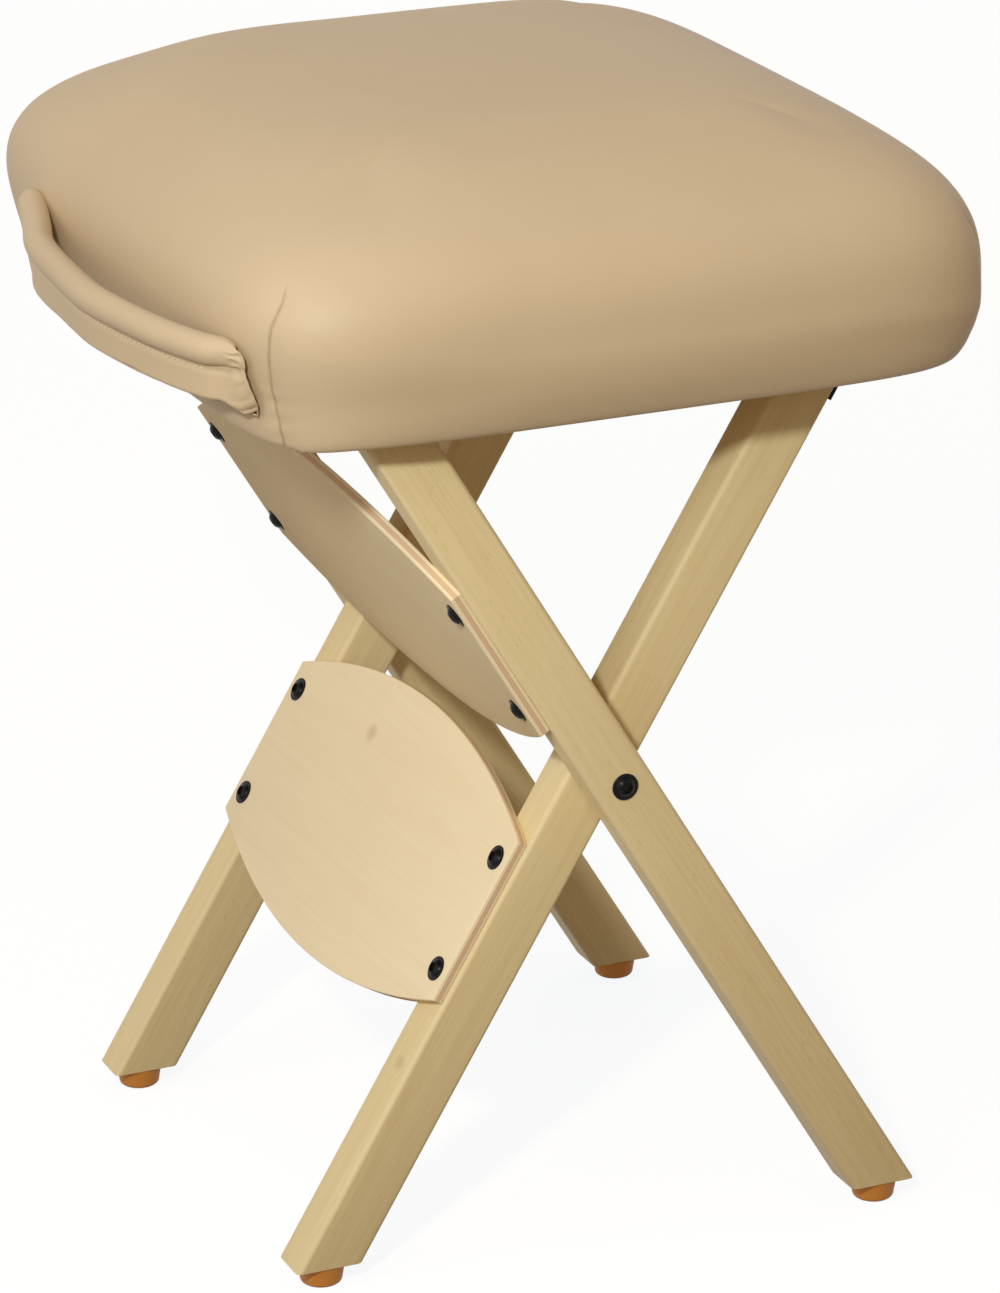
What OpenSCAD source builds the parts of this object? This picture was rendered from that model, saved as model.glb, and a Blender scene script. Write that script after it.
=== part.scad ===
// Folding stool with two crossed pairs of wooden legs and a padded seat.
// Millimetres, +Z up, floor at z = 0. +X runs from the carry handle to the hinged end of the
// seat, and Y runs along the pivot bolts. The near side is the one at -Y.

/* [Legs] */
// Distance between the two rows of feet, centre to centre
foot_span = 264; // [220:1:300]
// Height of the pivot bolts above the floor
pivot_h = 227.5; // [210:0.5:245]
// Leg width, seen from the near side
leg_w = 27; // [24:0.5:32]
// Leg thickness along the pivot bolts
leg_t = 22.5; // [20:0.5:28]
// Rounding of the long leg edges
leg_round = 2.5; // [0.5:0.1:5]
// Distance over the outer faces of the two outer legs
frame_w = 304; // [280:1:340]
// Gap between an outer and an inner leg, filled by the washer
leg_gap = 2; // [1:0.1:4]

/* [Panels] */
// Thickness of the plywood panels
ply_t = 5.4; // [4:0.1:8]
// Length of a panel's straight sides along the legs
panel_side = 80; // [70:1:95]
// Distance from the pivot to the nearer straight end of either panel
panel_start = 45; // [40:1:55]
// Radius of the bowed panel ends
panel_bow_r = 338; // [300:1:500]
// Strip of leg left bare beside a panel
panel_inset = 1.6; // [0:0.1:4]
// Distance from a panel's straight end to the nearer screws
screw_edge = 12; // [9:0.5:20]

/* [Seat] */
// Height of the seat board's underside
seat_h = 406; // [390:1:430]
// How far the cushion reaches past the legs' tops, towards the handle and the hinged side
end_over = 56.4; // [50:0.1:75]
// How far the cushion reaches past the outer legs, to the near and the far side
side_over = 39; // [34:0.5:55]
// Height of the crown above the board's underside
cushion_h = 113; // [90:1:130]
// Height of the widest line above the board's underside, at the handle end
belly_h = 44; // [30:1:50]
// How much lower the widest line lies at the hinged end
belly_drop = 20; // [0:1:28]
// How far the sides are drawn in at the bottom edge
draw_in = 12.5; // [2:0.5:14]
// Squareness of the cushion in plan
plan_power = 6.6; // [4:0.1:9]
// Fullness of the cushion's edge at the handle end, lower is rounder
crown_power = 2.5; // [2.2:0.1:4]
// How much fuller the edge is at the hinged end
crown_gain = 0.5; // [0:0.1:1]
// Thickness of the plywood seat board
board_t = 10; // [8:0.5:15]
// Thickness of the vinyl cover
cover_t = 1.2; // [0.8:0.1:2]
// Width of the vinyl turned under the board
wrap_w = 10; // [8:1:12]

/* [Carry handle] */
// Distance between the handle's sewn ends
handle_len = 242; // [200:1:280]
// How far the handle sits from the seat's middle towards the near side
handle_shift = 26; // [0:1:35]
// Widest gap between the handle and the cushion
finger_gap = 12; // [8:0.5:25]
// Outside diameter of the handle's rolled edge
handle_d = 13; // [10:0.5:18]
// Diameter of the cord inside the rolled edge
handle_core_d = 9; // [5:0.5:9]
// Height of the flat band below the rolled edge
band_h = 15; // [8:0.5:18]
// Thickness of the flat band
band_t = 3.4; // [2:0.1:5]
// How far the middle of the handle's ends lies inside the cushion's widest line
handle_sink = 8; // [3:0.5:10]
// Height of the rolled edge's middle above the board's underside
handle_rise = 39; // [32:0.5:50]

/* [Feet] */
// Height of a rubber foot
foot_h = 10; // [8:0.5:16]
// Diameter of a foot at the leg
foot_top_d = 21.6; // [18:0.2:23]
// Diameter of a foot at the floor
foot_low_d = 19.2; // [15:0.2:22]
// Rounding of a foot's lower edge
foot_round = 2.4; // [0.5:0.1:3.5]
// Shank diameter of a foot's screw
foot_screw_d = 3.5; // [3:0.1:4.5]
// Depth of a foot's screw in the leg
foot_screw_bite = 14; // [8:1:16]

/* [Fasteners] */
// Diameter of the pivot bolts' shanks
bolt_d = 6.3; // [5:0.1:8]
// Diameter of the pivot bolts' flanged heads
bolt_head_d = 12.2; // [10:0.1:16]
// Height of the pivot bolts' flanged heads
bolt_head_h = 3.4; // [2:0.1:5]
// Flange diameter of the pivot nuts and of the washers between the legs
nut_flange_d = 18; // [15:0.5:22]
// Flange thickness of the pivot nuts
nut_flange_t = 1.4; // [1:0.1:2]
// Barrel diameter of the pivot nuts
nut_barrel_d = 9; // [8.6:0.1:12]
// Barrel length of the pivot nuts
nut_barrel_len = 11; // [8:0.5:14]
// Diameter of the panel screws' shanks
panel_screw_d = 4; // [3:0.1:5]
// Diameter of the panel screws' flanged heads
panel_head_d = 11.4; // [9:0.1:14]
// Height of the panel screws' flanged heads
panel_head_h = 3; // [2:0.1:4]
// Thickness of the flange round every black head
flange_t = 0.7; // [0.5:0.1:1.2]
// Width of that flange beyond the dome
flange_w = 1.3; // [0.5:0.1:2]
// Outside diameter of the threaded inserts
insert_d = 8; // [6.5:0.1:10]
// Length of the threaded inserts
insert_len = 13; // [10:0.5:16]

/* [Hinges] */
// Diameter of the hinge knuckles
knuckle_d = 6; // [5:0.1:8]
// Diameter of the hinge pins
hinge_pin_d = 2.6; // [2:0.1:3.2]
// Thickness of the hinge leaves
leaf_t = 1.5; // [1:0.1:2]
// Width of the hinges along the pin
leaf_w = 20; // [16:0.5:20]
// Length of a hinge leaf from the pin
leaf_len = 26; // [24:0.5:28]
// Head diameter of the hinge and cleat screws
flat_head_d = 6; // [5:0.1:6.6]
// Shank diameter of the hinge and cleat screws
flat_screw_d = 3; // [2.4:0.1:3.4]
// Depth of the hinge and cleat screws in the seat board
board_bite = 7.5; // [5:0.5:8]
// Depth of the hinge screws in the leg
leg_bite = 14; // [8:1:18]

/* [Stop cleat] */
// Width of the cleat that stops the outer legs
cleat_w = 17; // [12:0.5:18]
// Height of the cleat
cleat_h = 14; // [8:0.5:18]
// How far the cleat's ends stay inside the outer legs' outer faces
cleat_in = 10; // [5:0.5:20]
// Chamfer of the cleat's lower edges
cleat_chamfer = 2; // [0.5:0.1:4]

/* [Fits] */
// Running clearance around a pin
run_gap = 0.05; // [0.02:0.01:0.1]
// Clearance around a piece that doesn't turn
fit_gap = 0.03; // [0.01:0.01:0.06]
// Gap between parts that meet face to face and move apart
rest_gap = 0.15; // [0.1:0.01:0.3]

/* [Hidden] */

$fn = 64;
near = -1;
far = 1;
sides = [near, far];

// Leg lines: each leg's middle line runs through the pivot and the middle of its foot
lean = atan((foot_span / 2) / (pivot_h - foot_h));
outer_y = frame_w / 2 - leg_t / 2;
inner_y = outer_y - leg_t - leg_gap;
leg_reach = (seat_h + foot_span) / cos(lean);

// Panels, measured along a leg from the pivot
panel_far_end = panel_start + panel_side;
panel_mid = panel_start + panel_side / 2;
screw_rows = [panel_start + screw_edge, panel_far_end - screw_edge];
panel_face = -leg_w / 2 - ply_t;

// Hinge pin: level with its knuckle's radius below the board and beside the inner legs' tops
hinge_off = knuckle_d / 2 + rest_gap;
hinge_z = seat_h - hinge_off;
hinge_x = (leg_w / 2 + hinge_off + (hinge_z - pivot_h) * sin(lean)) / cos(lean);
leaf_clear = knuckle_d / 2 + 0.4;
leaf_margin = 1.6;
leaf_holes = [leaf_clear + flat_head_d / 2 + leaf_margin, leaf_len - flat_head_d / 2 - leaf_margin];
knuckle_len = leaf_w / 3;
knuckle_gap = 0.15;
pin_head_d = hinge_pin_d + 1.4;
pin_head_t = 0.6;

// Pointed ends of the wood screws, and how much shorter than its hole a machine screw stays
tip_len = 1.5;
tip_d = 0.8;
short_by = 1;

// Sunk seat for a foot's screw
foot_head_gap = 0.5;
foot_head_lip = 2.3;
foot_head_r = foot_screw_d / 2 + foot_head_lip;
foot_seat_r = foot_head_r + foot_head_gap;
foot_seat_z = foot_h / 2;
foot_screw_head_t = 2.4;
foot_chamfer = 0.6;

// Outer legs' tops, where the stop cleat meets them
top_corner_x = (seat_h - pivot_h) * tan(lean) + leg_w / 2 / cos(lean);
cleat_x = -top_corner_x - rest_gap - cleat_w;
cleat_len = frame_w - 2 * cleat_in;
cleat_screw_end = cleat_len / 12;

// Cushion
seat_len = 2 * (top_corner_x + end_over);
seat_wid = frame_w + 2 * side_over;
crown_z = seat_h + cushion_h;
wrap_z = seat_h - cover_t;
board_top = seat_h + board_t;
plan_steps = 48;
crown_steps = 8;
side_steps = 3;
lining_steps = 2;
crown_plan_power = 2.2;
draw_power = 1.4;
sewn_gap = 0.2;
foam_gap = 0.3;

// Carry handle: one arc in plan, its middle outside the cushion's widest line
handle_mid_x = seat_len / 2 + finger_gap + handle_d / 2;
handle_sag = finger_gap + handle_d / 2 + handle_sink;
handle_arc_r = (pow(handle_len / 2, 2) + pow(handle_sag, 2)) / (2 * handle_sag);
handle_arc_a = 2 * asin(handle_len / 2 / handle_arc_r);
handle_z = seat_h + handle_rise;

// The whole stool is moved so that the middle of its outline stands over the origin
centre_x = (finger_gap + handle_d) / 2;

wood = "BurlyWood";
ply = "Wheat";
vinyl = "Tan";
black = [0.08, 0.08, 0.09];
steel = "Silver";
brass = "Goldenrod";
rubber = "Peru";

// Colour and place of a piece given in the stool's own middle
module piece(c) {
    color(c) translate([centre_x, 0, 0]) children();
}

// Frame of an outer leg: origin at the pivot, +Z up the leg, -X to the handle side
module on_outer() {
    translate([0, 0, pivot_h]) rotate([0, -lean, 0]) children();
}

// Frame of an inner leg, the mirror image of the outer one
module on_inner() {
    translate([0, 0, pivot_h]) rotate([0, lean, 0]) children();
}

// Turns +Z to -X, the way the panel screws' heads point
module facing_handle() {
    rotate([0, -90, 0]) children();
}

// Turns +Z to the near or the far side
module facing_side(side) {
    rotate([-90 * side, 0, 0]) children();
}

module rounded_bar(w, d, r) {
    square([w - 2 * r, d], center = true);
    square([w, d - 2 * r], center = true);
    for (x = sides, y = sides)
        translate([x * (w / 2 - r), y * (d / 2 - r)]) circle(r = r);
}

// A bar through the pivot, in a leg's own frame
module leg_bar() {
    translate([0, 0, -leg_reach / 2]) linear_extrude(height = leg_reach) rounded_bar(leg_w, leg_t, leg_round);
}

// The space between the feet and the seat, where both legs end level with the floor
module leg_space() {
    room = foot_span + leg_reach;
    translate([-room / 2, -room / 2, foot_h]) cube([room, room, seat_h - rest_gap - foot_h]);
}

// Sunk seat for a threaded insert, from a leg's handle-side face inwards
module insert_seats(y, up) {
    for (s = screw_rows)
        translate([-leg_w / 2 - 1, y, up * s])
            rotate([0, 90, 0]) cylinder(d = insert_d + 2 * fit_gap, h = insert_len + 1);
}

module foot_screw_hole(x, y) {
    translate([x, y, 0]) cylinder(d = foot_screw_d + 2 * fit_gap, h = foot_h + foot_screw_bite + fit_gap);
}

module outer_leg(side) {
    y = side * outer_y;
    difference() {
        intersection() {
            on_outer() translate([0, y, 0]) leg_bar();
            leg_space();
        }
        on_outer() rotate([90, 0, 0]) cylinder(d = bolt_d + 2 * run_gap, h = 2 * frame_w, center = true);
        on_outer() insert_seats(y, 1);
        foot_screw_hole(foot_span / 2, y);
    }
}

module inner_leg(side) {
    y = side * inner_y;
    difference() {
        intersection() {
            on_inner() translate([0, y, 0]) leg_bar();
            leg_space();
        }
        on_inner() rotate([90, 0, 0]) cylinder(d = bolt_d + 2 * fit_gap, h = 2 * frame_w, center = true);
        nut_barrel_hole(side);
        on_inner() insert_seats(y, -1);
        foot_screw_hole(-foot_span / 2, y);
        leg_leaf_screws(side, fit_gap);
    }
}

// Barrel-shaped plate in a leg's frame: straight along the legs, bowed at both ends
module bowed_plate(half_w, up) {
    bow = panel_bow_r - sqrt(pow(panel_bow_r, 2) - pow(half_w, 2));
    reach = panel_side / 2 + bow;
    translate([panel_face, 0, up * panel_mid]) rotate([90, 0, 90]) linear_extrude(height = ply_t)
        intersection() {
            square([2 * half_w, 2 * reach], center = true);
            translate([0, reach - panel_bow_r]) circle(r = panel_bow_r, $fn = 240);
            translate([0, panel_bow_r - reach]) circle(r = panel_bow_r, $fn = 240);
        }
}

module panel_holes(y_leg, up) {
    for (side = sides, s = screw_rows)
        translate([0, side * y_leg, up * s])
            rotate([0, 90, 0]) cylinder(d = panel_screw_d + 2 * fit_gap, h = 2 * leg_w, center = true);
}

module panel(y_leg, up) {
    difference() {
        bowed_plate(y_leg + leg_t / 2 - panel_inset, up);
        panel_holes(y_leg, up);
    }
}

// Flanged head with a dome, standing on z = 0 with a shank below it
module cap_screw(head_d, head_h, shank_d, shank_len) {
    dome_h = head_h - flange_t;
    dome_r = head_d / 2 - flange_w;
    ball = (pow(dome_r, 2) + pow(dome_h, 2)) / (2 * dome_h);
    cylinder(d = head_d, h = flange_t);
    intersection() {
        translate([0, 0, head_h - ball]) sphere(r = ball, $fn = 96);
        translate([0, 0, flange_t / 2]) cylinder(d = head_d, h = head_h);
    }
    translate([0, 0, -shank_len]) cylinder(d = shank_d, h = shank_len + flange_t / 2);
}

module panel_screws(y_leg, up) {
    for (side = sides, s = screw_rows)
        translate([panel_face, side * y_leg, up * s]) facing_handle()
            cap_screw(panel_head_d, panel_head_h, panel_screw_d, ply_t + insert_len - short_by);
}

module inserts(y_leg, up) {
    for (side = sides, s = screw_rows)
        translate([-leg_w / 2 + fit_gap, side * y_leg, up * s]) rotate([0, 90, 0])
            difference() {
                cylinder(d = insert_d, h = insert_len - 2 * fit_gap);
                translate([0, 0, -1]) cylinder(d = panel_screw_d + 2 * fit_gap, h = insert_len + 2);
            }
}

// Rubber foot with a sunk seat for its screw
module foot() {
    low_r = foot_low_d / 2;
    edge = [for (a = [-90:15:0]) [low_r - foot_round + foot_round * cos(a), foot_round + foot_round * sin(a)]];
    rotate_extrude($fn = 72) polygon(concat(
        [[foot_seat_r, 0]], edge,
        [[foot_top_d / 2, foot_h - foot_chamfer], [foot_top_d / 2 - foot_chamfer, foot_h]],
        [[foot_screw_d / 2 + fit_gap, foot_h], [foot_screw_d / 2 + fit_gap, foot_seat_z], [foot_seat_r, foot_seat_z]]
    ));
}

module foot_screws(x, y) {
    for (side = sides)
        translate([x, side * y, foot_seat_z]) {
            translate([0, 0, -foot_screw_head_t]) cylinder(r = foot_head_r, h = foot_screw_head_t);
            cylinder(d = foot_screw_d, h = foot_h - foot_seat_z + foot_screw_bite);
        }
}

// Bolt from the outer leg's outer face into the nut in the inner leg
module pivot_bolt(side) {
    reach = leg_t + leg_gap + leg_t - short_by;
    on_inner() translate([0, side * (frame_w / 2 + rest_gap), 0]) facing_side(side)
        cap_screw(bolt_head_d, bolt_head_h, bolt_d, reach + rest_gap);
}

module pivot_washer(side) {
    on_inner() translate([0, side * (inner_y + leg_t / 2), 0]) facing_side(side)
        difference() {
            cylinder(d = nut_flange_d, h = leg_gap - rest_gap);
            translate([0, 0, -1]) cylinder(d = bolt_d + 2 * fit_gap, h = leg_gap + 2);
        }
}

module nut_barrel_hole(side) {
    on_inner() translate([0, side * (inner_y - leg_t / 2 - 1), 0]) facing_side(side)
        cylinder(d = nut_barrel_d + 2 * fit_gap, h = nut_barrel_len + 1 + fit_gap);
}

// Flanged nut let into the inner leg's inner face
module pivot_nut(side) {
    on_inner() translate([0, side * (inner_y - leg_t / 2), 0]) facing_side(side)
        difference() {
            union() {
                cylinder(d = nut_barrel_d, h = nut_barrel_len);
                translate([0, 0, -nut_flange_t]) cylinder(d = nut_flange_d, h = nut_flange_t);
            }
            translate([0, 0, -nut_flange_t - 1])
                cylinder(d = bolt_d + 2 * fit_gap, h = nut_flange_t + nut_barrel_len + 2);
        }
}

// Countersunk screw: its head's face at z = 0 and its shank along +Z
module flat_screw(grow, bite) {
    head_h = (flat_head_d - flat_screw_d) / 2;
    cylinder(d1 = flat_head_d + 2 * grow, d2 = flat_screw_d + 2 * grow, h = head_h);
    cylinder(d = flat_screw_d + 2 * grow, h = bite - tip_len + grow);
    translate([0, 0, bite - tip_len + grow]) cylinder(d1 = flat_screw_d + 2 * grow, d2 = tip_d, h = tip_len);
}

// Frame of the hinge pin in the seat: +X along the seat leaf, +Z into the board
module at_seat_hinge(side) {
    translate([hinge_x, side * inner_y, hinge_z]) children();
}

// Frame of the hinge pin on the leg: +X down the leg along the leg leaf, +Z into the leg
module at_leg_hinge(side) {
    translate([hinge_x, side * inner_y, hinge_z]) rotate([0, 90 + lean, 0]) mirror([0, 0, 1]) children();
}

// Leaf along +X with its back face towards +Z, rolled into its knuckles at the pin
module leaf(own) {
    front = hinge_off - leaf_t;
    difference() {
        union() {
            translate([leaf_clear, -leaf_w / 2, front]) cube([leaf_len - leaf_clear, leaf_w, leaf_t]);
            for (k = own)
                translate([0, (k - 1) * knuckle_len, 0]) {
                    len = knuckle_len - knuckle_gap;
                    rotate([90, 0, 0]) cylinder(d = knuckle_d, h = len, center = true);
                    translate([0, -len / 2, front]) cube([2 * leaf_clear, len, leaf_t]);
                }
        }
        rotate([90, 0, 0]) cylinder(d = hinge_pin_d + 2 * run_gap, h = 2 * leaf_w, center = true);
        for (x = leaf_holes)
            translate([x, 0, front]) flat_screw(fit_gap, leg_bite);
    }
}

module hinge_pin(side) {
    at_seat_hinge(side) rotate([90, 0, 0]) {
        cylinder(d = hinge_pin_d, h = leaf_w + pin_head_t, center = true);
        for (end = sides)
            translate([0, 0, end * (leaf_w + pin_head_t) / 2]) cylinder(d = pin_head_d, h = pin_head_t, center = true);
    }
}

module leg_leaf_screws(side, grow) {
    at_leg_hinge(side) for (x = leaf_holes)
        translate([x, 0, hinge_off - leaf_t]) flat_screw(grow, leg_bite);
}

module seat_leaf_screws(side, grow) {
    at_seat_hinge(side) for (x = leaf_holes)
        translate([x, 0, hinge_off - leaf_t]) flat_screw(grow, board_bite + leaf_t);
}

// One point of the cushion's plan, a superellipse that gets rounder towards the crown
function plan_point(a, half_x, half_y, p) = [
    half_x * sign(cos(a)) * pow(abs(cos(a)), 2 / p),
    half_y * sign(sin(a)) * pow(abs(sin(a)), 2 / p)
];

function plan(half_x, half_y, p) = [
    for (i = [0:plan_steps - 1]) plan_point(i * 360 / plan_steps, half_x, half_y, p)
];

function ring(inset, z) = [
    for (q = plan(seat_len / 2 - inset, seat_wid / 2 - inset, plan_power)) [q[0], q[1], z]
];

// 0 at the handle end and 1 at the hinged end, by the direction a in plan
function end_share(a) =
    let (k = (1 + cos(a)) / 2)
    k * k * (3 - 2 * k);

function belly_at(a) = seat_h + belly_h - belly_drop * end_share(a);

// How far the side is drawn in at height z
function side_inset(a, z) = draw_in * pow((belly_at(a) - z) / (belly_at(a) - seat_h), draw_power);

// Point of the crown in direction a, on a skin set in by d: rise is 90 at the top and 0 at the widest line
function crown_point(d, rise, a) =
    let (
        share = 2 / (crown_power + crown_gain * end_share(a)),
        out = pow(cos(rise), share),
        up = pow(max(sin(rise), 0), share),
        inset = d + (min(seat_len, seat_wid) / 2 - d) * (1 - out),
        p = crown_plan_power + (plan_power - crown_plan_power) * out,
        q = plan_point(a, seat_len / 2 - inset, seat_wid / 2 - inset, p),
        low = belly_at(a)
    )
    [q[0], q[1], low + (crown_z - d - low) * up];

// Point of the drawn-in side, a share of the way from the widest line down to height z_low
function side_point(d, z_low, share, a) =
    let (
        z = belly_at(a) + (z_low - belly_at(a)) * share,
        inset = d + side_inset(a, z),
        q = plan_point(a, seat_len / 2 - inset, seat_wid / 2 - inset, plan_power)
    )
    [q[0], q[1], z];

function crown_rings(d) = [
    for (i = [1:crown_steps])
        [for (j = [0:plan_steps - 1]) crown_point(d, 90 - i * 90 / crown_steps, j * 360 / plan_steps)]
];

function side_rings(d, z_low, steps) = [
    for (i = [1:steps])
        [for (j = [0:plan_steps - 1]) side_point(d, z_low, i / steps, j * 360 / plan_steps)]
];

// Closed skin over rings that run from a first pole to a last one
module skin(first, rings, last) {
    n = plan_steps;
    m = len(rings);
    points = concat([first], [for (r = rings) each r], [last]);
    top = [for (j = [0:n - 1]) [0, 1 + (j + 1) % n, 1 + j]];
    bands = [
        for (i = [0:m - 2], j = [0:n - 1])
            let (a = 1 + i * n + j, b = 1 + i * n + (j + 1) % n)
            each [[a, b, b + n], [a, b + n, a + n]]
    ];
    base = 1 + (m - 1) * n;
    bottom = [for (j = [0:n - 1]) [base + j, base + (j + 1) % n, base + n]];
    polyhedron(points = points, faces = concat(top, bands, bottom), convexity = 6);
}

// Outer surface of the cover, grown by g
module cushion_body(g) {
    skin(
        [0, 0, crown_z + g],
        concat(crown_rings(-g), side_rings(-g, wrap_z, side_steps)),
        [0, 0, wrap_z]
    );
}

board_inset = draw_in + cover_t + fit_gap;

module board_outline(grow) {
    polygon(plan(seat_len / 2 - board_inset + grow, seat_wid / 2 - board_inset + grow, plan_power));
}

module inner_leg_near() { piece(wood) inner_leg(near); }
module inner_leg_far() { piece(wood) inner_leg(far); }
module lower_panel() { piece(ply) on_inner() panel(inner_y, -1); }
module lower_panel_screws() { piece(black) on_inner() panel_screws(inner_y, -1); }
module lower_panel_inserts() { piece(brass) on_inner() inserts(inner_y, -1); }
module inner_foot_near() { piece(rubber) translate([-foot_span / 2, near * inner_y, 0]) foot(); }
module inner_foot_far() { piece(rubber) translate([-foot_span / 2, far * inner_y, 0]) foot(); }
module inner_foot_screws() { piece(steel) foot_screws(-foot_span / 2, inner_y); }
module pivot_bolt_near() { piece(black) pivot_bolt(near); }
module pivot_bolt_far() { piece(black) pivot_bolt(far); }
module pivot_washers() { piece(steel) for (side = sides) pivot_washer(side); }
module pivot_nuts() { piece(steel) for (side = sides) pivot_nut(side); }
module hinge_leg_leaf_near() { piece(black) at_leg_hinge(near) leaf([0, 2]); }
module hinge_leg_leaf_far() { piece(black) at_leg_hinge(far) leaf([0, 2]); }
module hinge_pins() { piece(steel) for (side = sides) hinge_pin(side); }
module hinge_leg_screws() { piece(black) for (side = sides) leg_leaf_screws(side, 0); }
module outer_leg_near() { piece(wood) outer_leg(near); }
module outer_leg_far() { piece(wood) outer_leg(far); }
module upper_panel() { piece(ply) on_outer() panel(outer_y, 1); }
module upper_panel_screws() { piece(black) on_outer() panel_screws(outer_y, 1); }
module upper_panel_inserts() { piece(brass) on_outer() inserts(outer_y, 1); }
module outer_foot_near() { piece(rubber) translate([foot_span / 2, near * outer_y, 0]) foot(); }
module outer_foot_far() { piece(rubber) translate([foot_span / 2, far * outer_y, 0]) foot(); }
module outer_foot_screws() { piece(steel) foot_screws(foot_span / 2, outer_y); }

module seat_board() {
    piece(ply) difference() {
        translate([0, 0, seat_h]) linear_extrude(height = board_t) board_outline(0);
        for (side = sides) seat_leaf_screws(side, fit_gap);
        cleat_screws(fit_gap);
    }
}

module seat_foam() {
    d = cover_t + foam_gap;
    piece("LightYellow") skin(
        [0, 0, crown_z - d],
        concat(crown_rings(d), side_rings(d, board_top, lining_steps)),
        [0, 0, board_top]
    );
}

// Vinyl skin over the foam, down the sides and turned under the board's edge
module seat_cover() {
    ledge_z = board_top - fit_gap;
    turned = [
        ring(draw_in + wrap_w, wrap_z),
        ring(draw_in + wrap_w, seat_h),
        ring(board_inset - fit_gap, seat_h),
        ring(board_inset - fit_gap, ledge_z)
    ];
    lining = concat(crown_rings(cover_t), side_rings(cover_t, ledge_z, lining_steps));
    upwards = [for (i = [len(lining) - 1:-1:0]) lining[i]];
    piece(vinyl) skin(
        [0, 0, crown_z],
        concat(crown_rings(0), side_rings(0, wrap_z, side_steps), turned, upwards),
        [0, 0, crown_z - cover_t]
    );
}

// Sweeps a profile along the handle's arc: profile +X is away from the seat, +Y is up
module along_handle() {
    translate([-handle_mid_x + handle_arc_r, -handle_shift, handle_z])
        rotate([0, 0, 180 - handle_arc_a / 2])
            rotate_extrude(angle = handle_arc_a, $fn = 240) translate([handle_arc_r, 0]) children();
}

module carry_handle() {
    piece(vinyl) difference() {
        along_handle() difference() {
            union() {
                circle(d = handle_d);
                translate([-band_t / 2, -handle_d / 2 - band_h + 1]) square([band_t, band_h]);
            }
            circle(d = handle_core_d + 2 * fit_gap);
        }
        cushion_body(sewn_gap);
    }
}

module handle_core() {
    piece("Ivory") difference() {
        along_handle() circle(d = handle_core_d);
        cushion_body(sewn_gap);
    }
}

module cleat_screws(grow) {
    for (y = [cleat_screw_end - cleat_len / 2, 0, cleat_len / 2 - cleat_screw_end])
        translate([cleat_x + cleat_w / 2, y, seat_h - cleat_h])
            flat_screw(grow, cleat_h + board_bite);
}

module stop_cleat() {
    c = cleat_chamfer;
    piece(wood) difference() {
        translate([cleat_x, cleat_len / 2, seat_h]) rotate([90, 0, 0]) linear_extrude(height = cleat_len)
            polygon([
                [0, 0], [0, c - cleat_h], [c, -cleat_h],
                [cleat_w - c, -cleat_h], [cleat_w, c - cleat_h], [cleat_w, 0]
            ]);
        cleat_screws(fit_gap);
    }
}

module stop_cleat_screws() { piece(steel) cleat_screws(0); }
module hinge_seat_leaf_near() { piece(black) at_seat_hinge(near) leaf([1]); }
module hinge_seat_leaf_far() { piece(black) at_seat_hinge(far) leaf([1]); }
module hinge_seat_screws() { piece(black) for (side = sides) seat_leaf_screws(side, 0); }

inner_leg_near();
inner_leg_far();
lower_panel();
lower_panel_screws();
lower_panel_inserts();
inner_foot_near();
inner_foot_far();
inner_foot_screws();
pivot_bolt_near();
pivot_bolt_far();
pivot_washers();
pivot_nuts();
hinge_leg_leaf_near();
hinge_leg_leaf_far();
hinge_pins();
hinge_leg_screws();
outer_leg_near();
outer_leg_far();
upper_panel();
upper_panel_screws();
upper_panel_inserts();
outer_foot_near();
outer_foot_far();
outer_foot_screws();
seat_board();
seat_foam();
seat_cover();
carry_handle();
handle_core();
stop_cleat();
stop_cleat_screws();
hinge_seat_leaf_near();
hinge_seat_leaf_far();
hinge_seat_screws();
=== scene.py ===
"""Looks of a folding stool with crossed wooden legs, bowed plywood panels and a padded seat.

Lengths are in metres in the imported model's frame: the floor is at z = 0, +X runs from the carry
handle to the hinged end of the seat, and the near side is the one at -Y.
"""

import logging
import math
import random
from dataclasses import dataclass, replace
from enum import Enum
from functools import partial
from itertools import accumulate
from typing import Callable, Iterable, Iterator, Sequence

import bmesh
import bpy
from mathutils import Matrix, Vector, geometry, noise


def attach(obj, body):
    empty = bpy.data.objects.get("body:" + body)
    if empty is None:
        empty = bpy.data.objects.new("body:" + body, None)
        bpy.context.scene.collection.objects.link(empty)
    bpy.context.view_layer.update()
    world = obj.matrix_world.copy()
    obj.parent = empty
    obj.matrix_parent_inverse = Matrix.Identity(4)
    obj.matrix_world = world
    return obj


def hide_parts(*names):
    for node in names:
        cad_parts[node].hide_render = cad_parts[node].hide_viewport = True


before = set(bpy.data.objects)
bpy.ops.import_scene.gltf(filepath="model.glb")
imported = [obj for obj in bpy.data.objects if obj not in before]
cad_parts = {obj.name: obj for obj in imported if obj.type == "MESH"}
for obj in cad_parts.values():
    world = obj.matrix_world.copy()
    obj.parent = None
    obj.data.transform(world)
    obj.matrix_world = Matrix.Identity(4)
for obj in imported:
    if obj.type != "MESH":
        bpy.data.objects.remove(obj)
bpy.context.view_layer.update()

logging.basicConfig(level=logging.INFO, format="%(levelname)s %(message)s")
log = logging.getLogger("stool")

MM = 0.001
UP = Vector((0, 0, 1))
Colour = tuple[float, float, float]
Piece = bpy.types.Object
Material = bpy.types.Material
Mesh = bmesh.types.BMesh
Edge = bmesh.types.BMEdge
Vert = bmesh.types.BMVert
Smudges = Iterable[tuple[Vector, float, float]]
Step = tuple[float, float, float]


class Side(Enum):
    """The two sides of the stool, with their sign along Y."""

    NEAR = -1
    FAR = 1

    @property
    def word(self) -> str:
        """The side as the nodes' names have it."""
        return self.name.lower()


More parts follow.
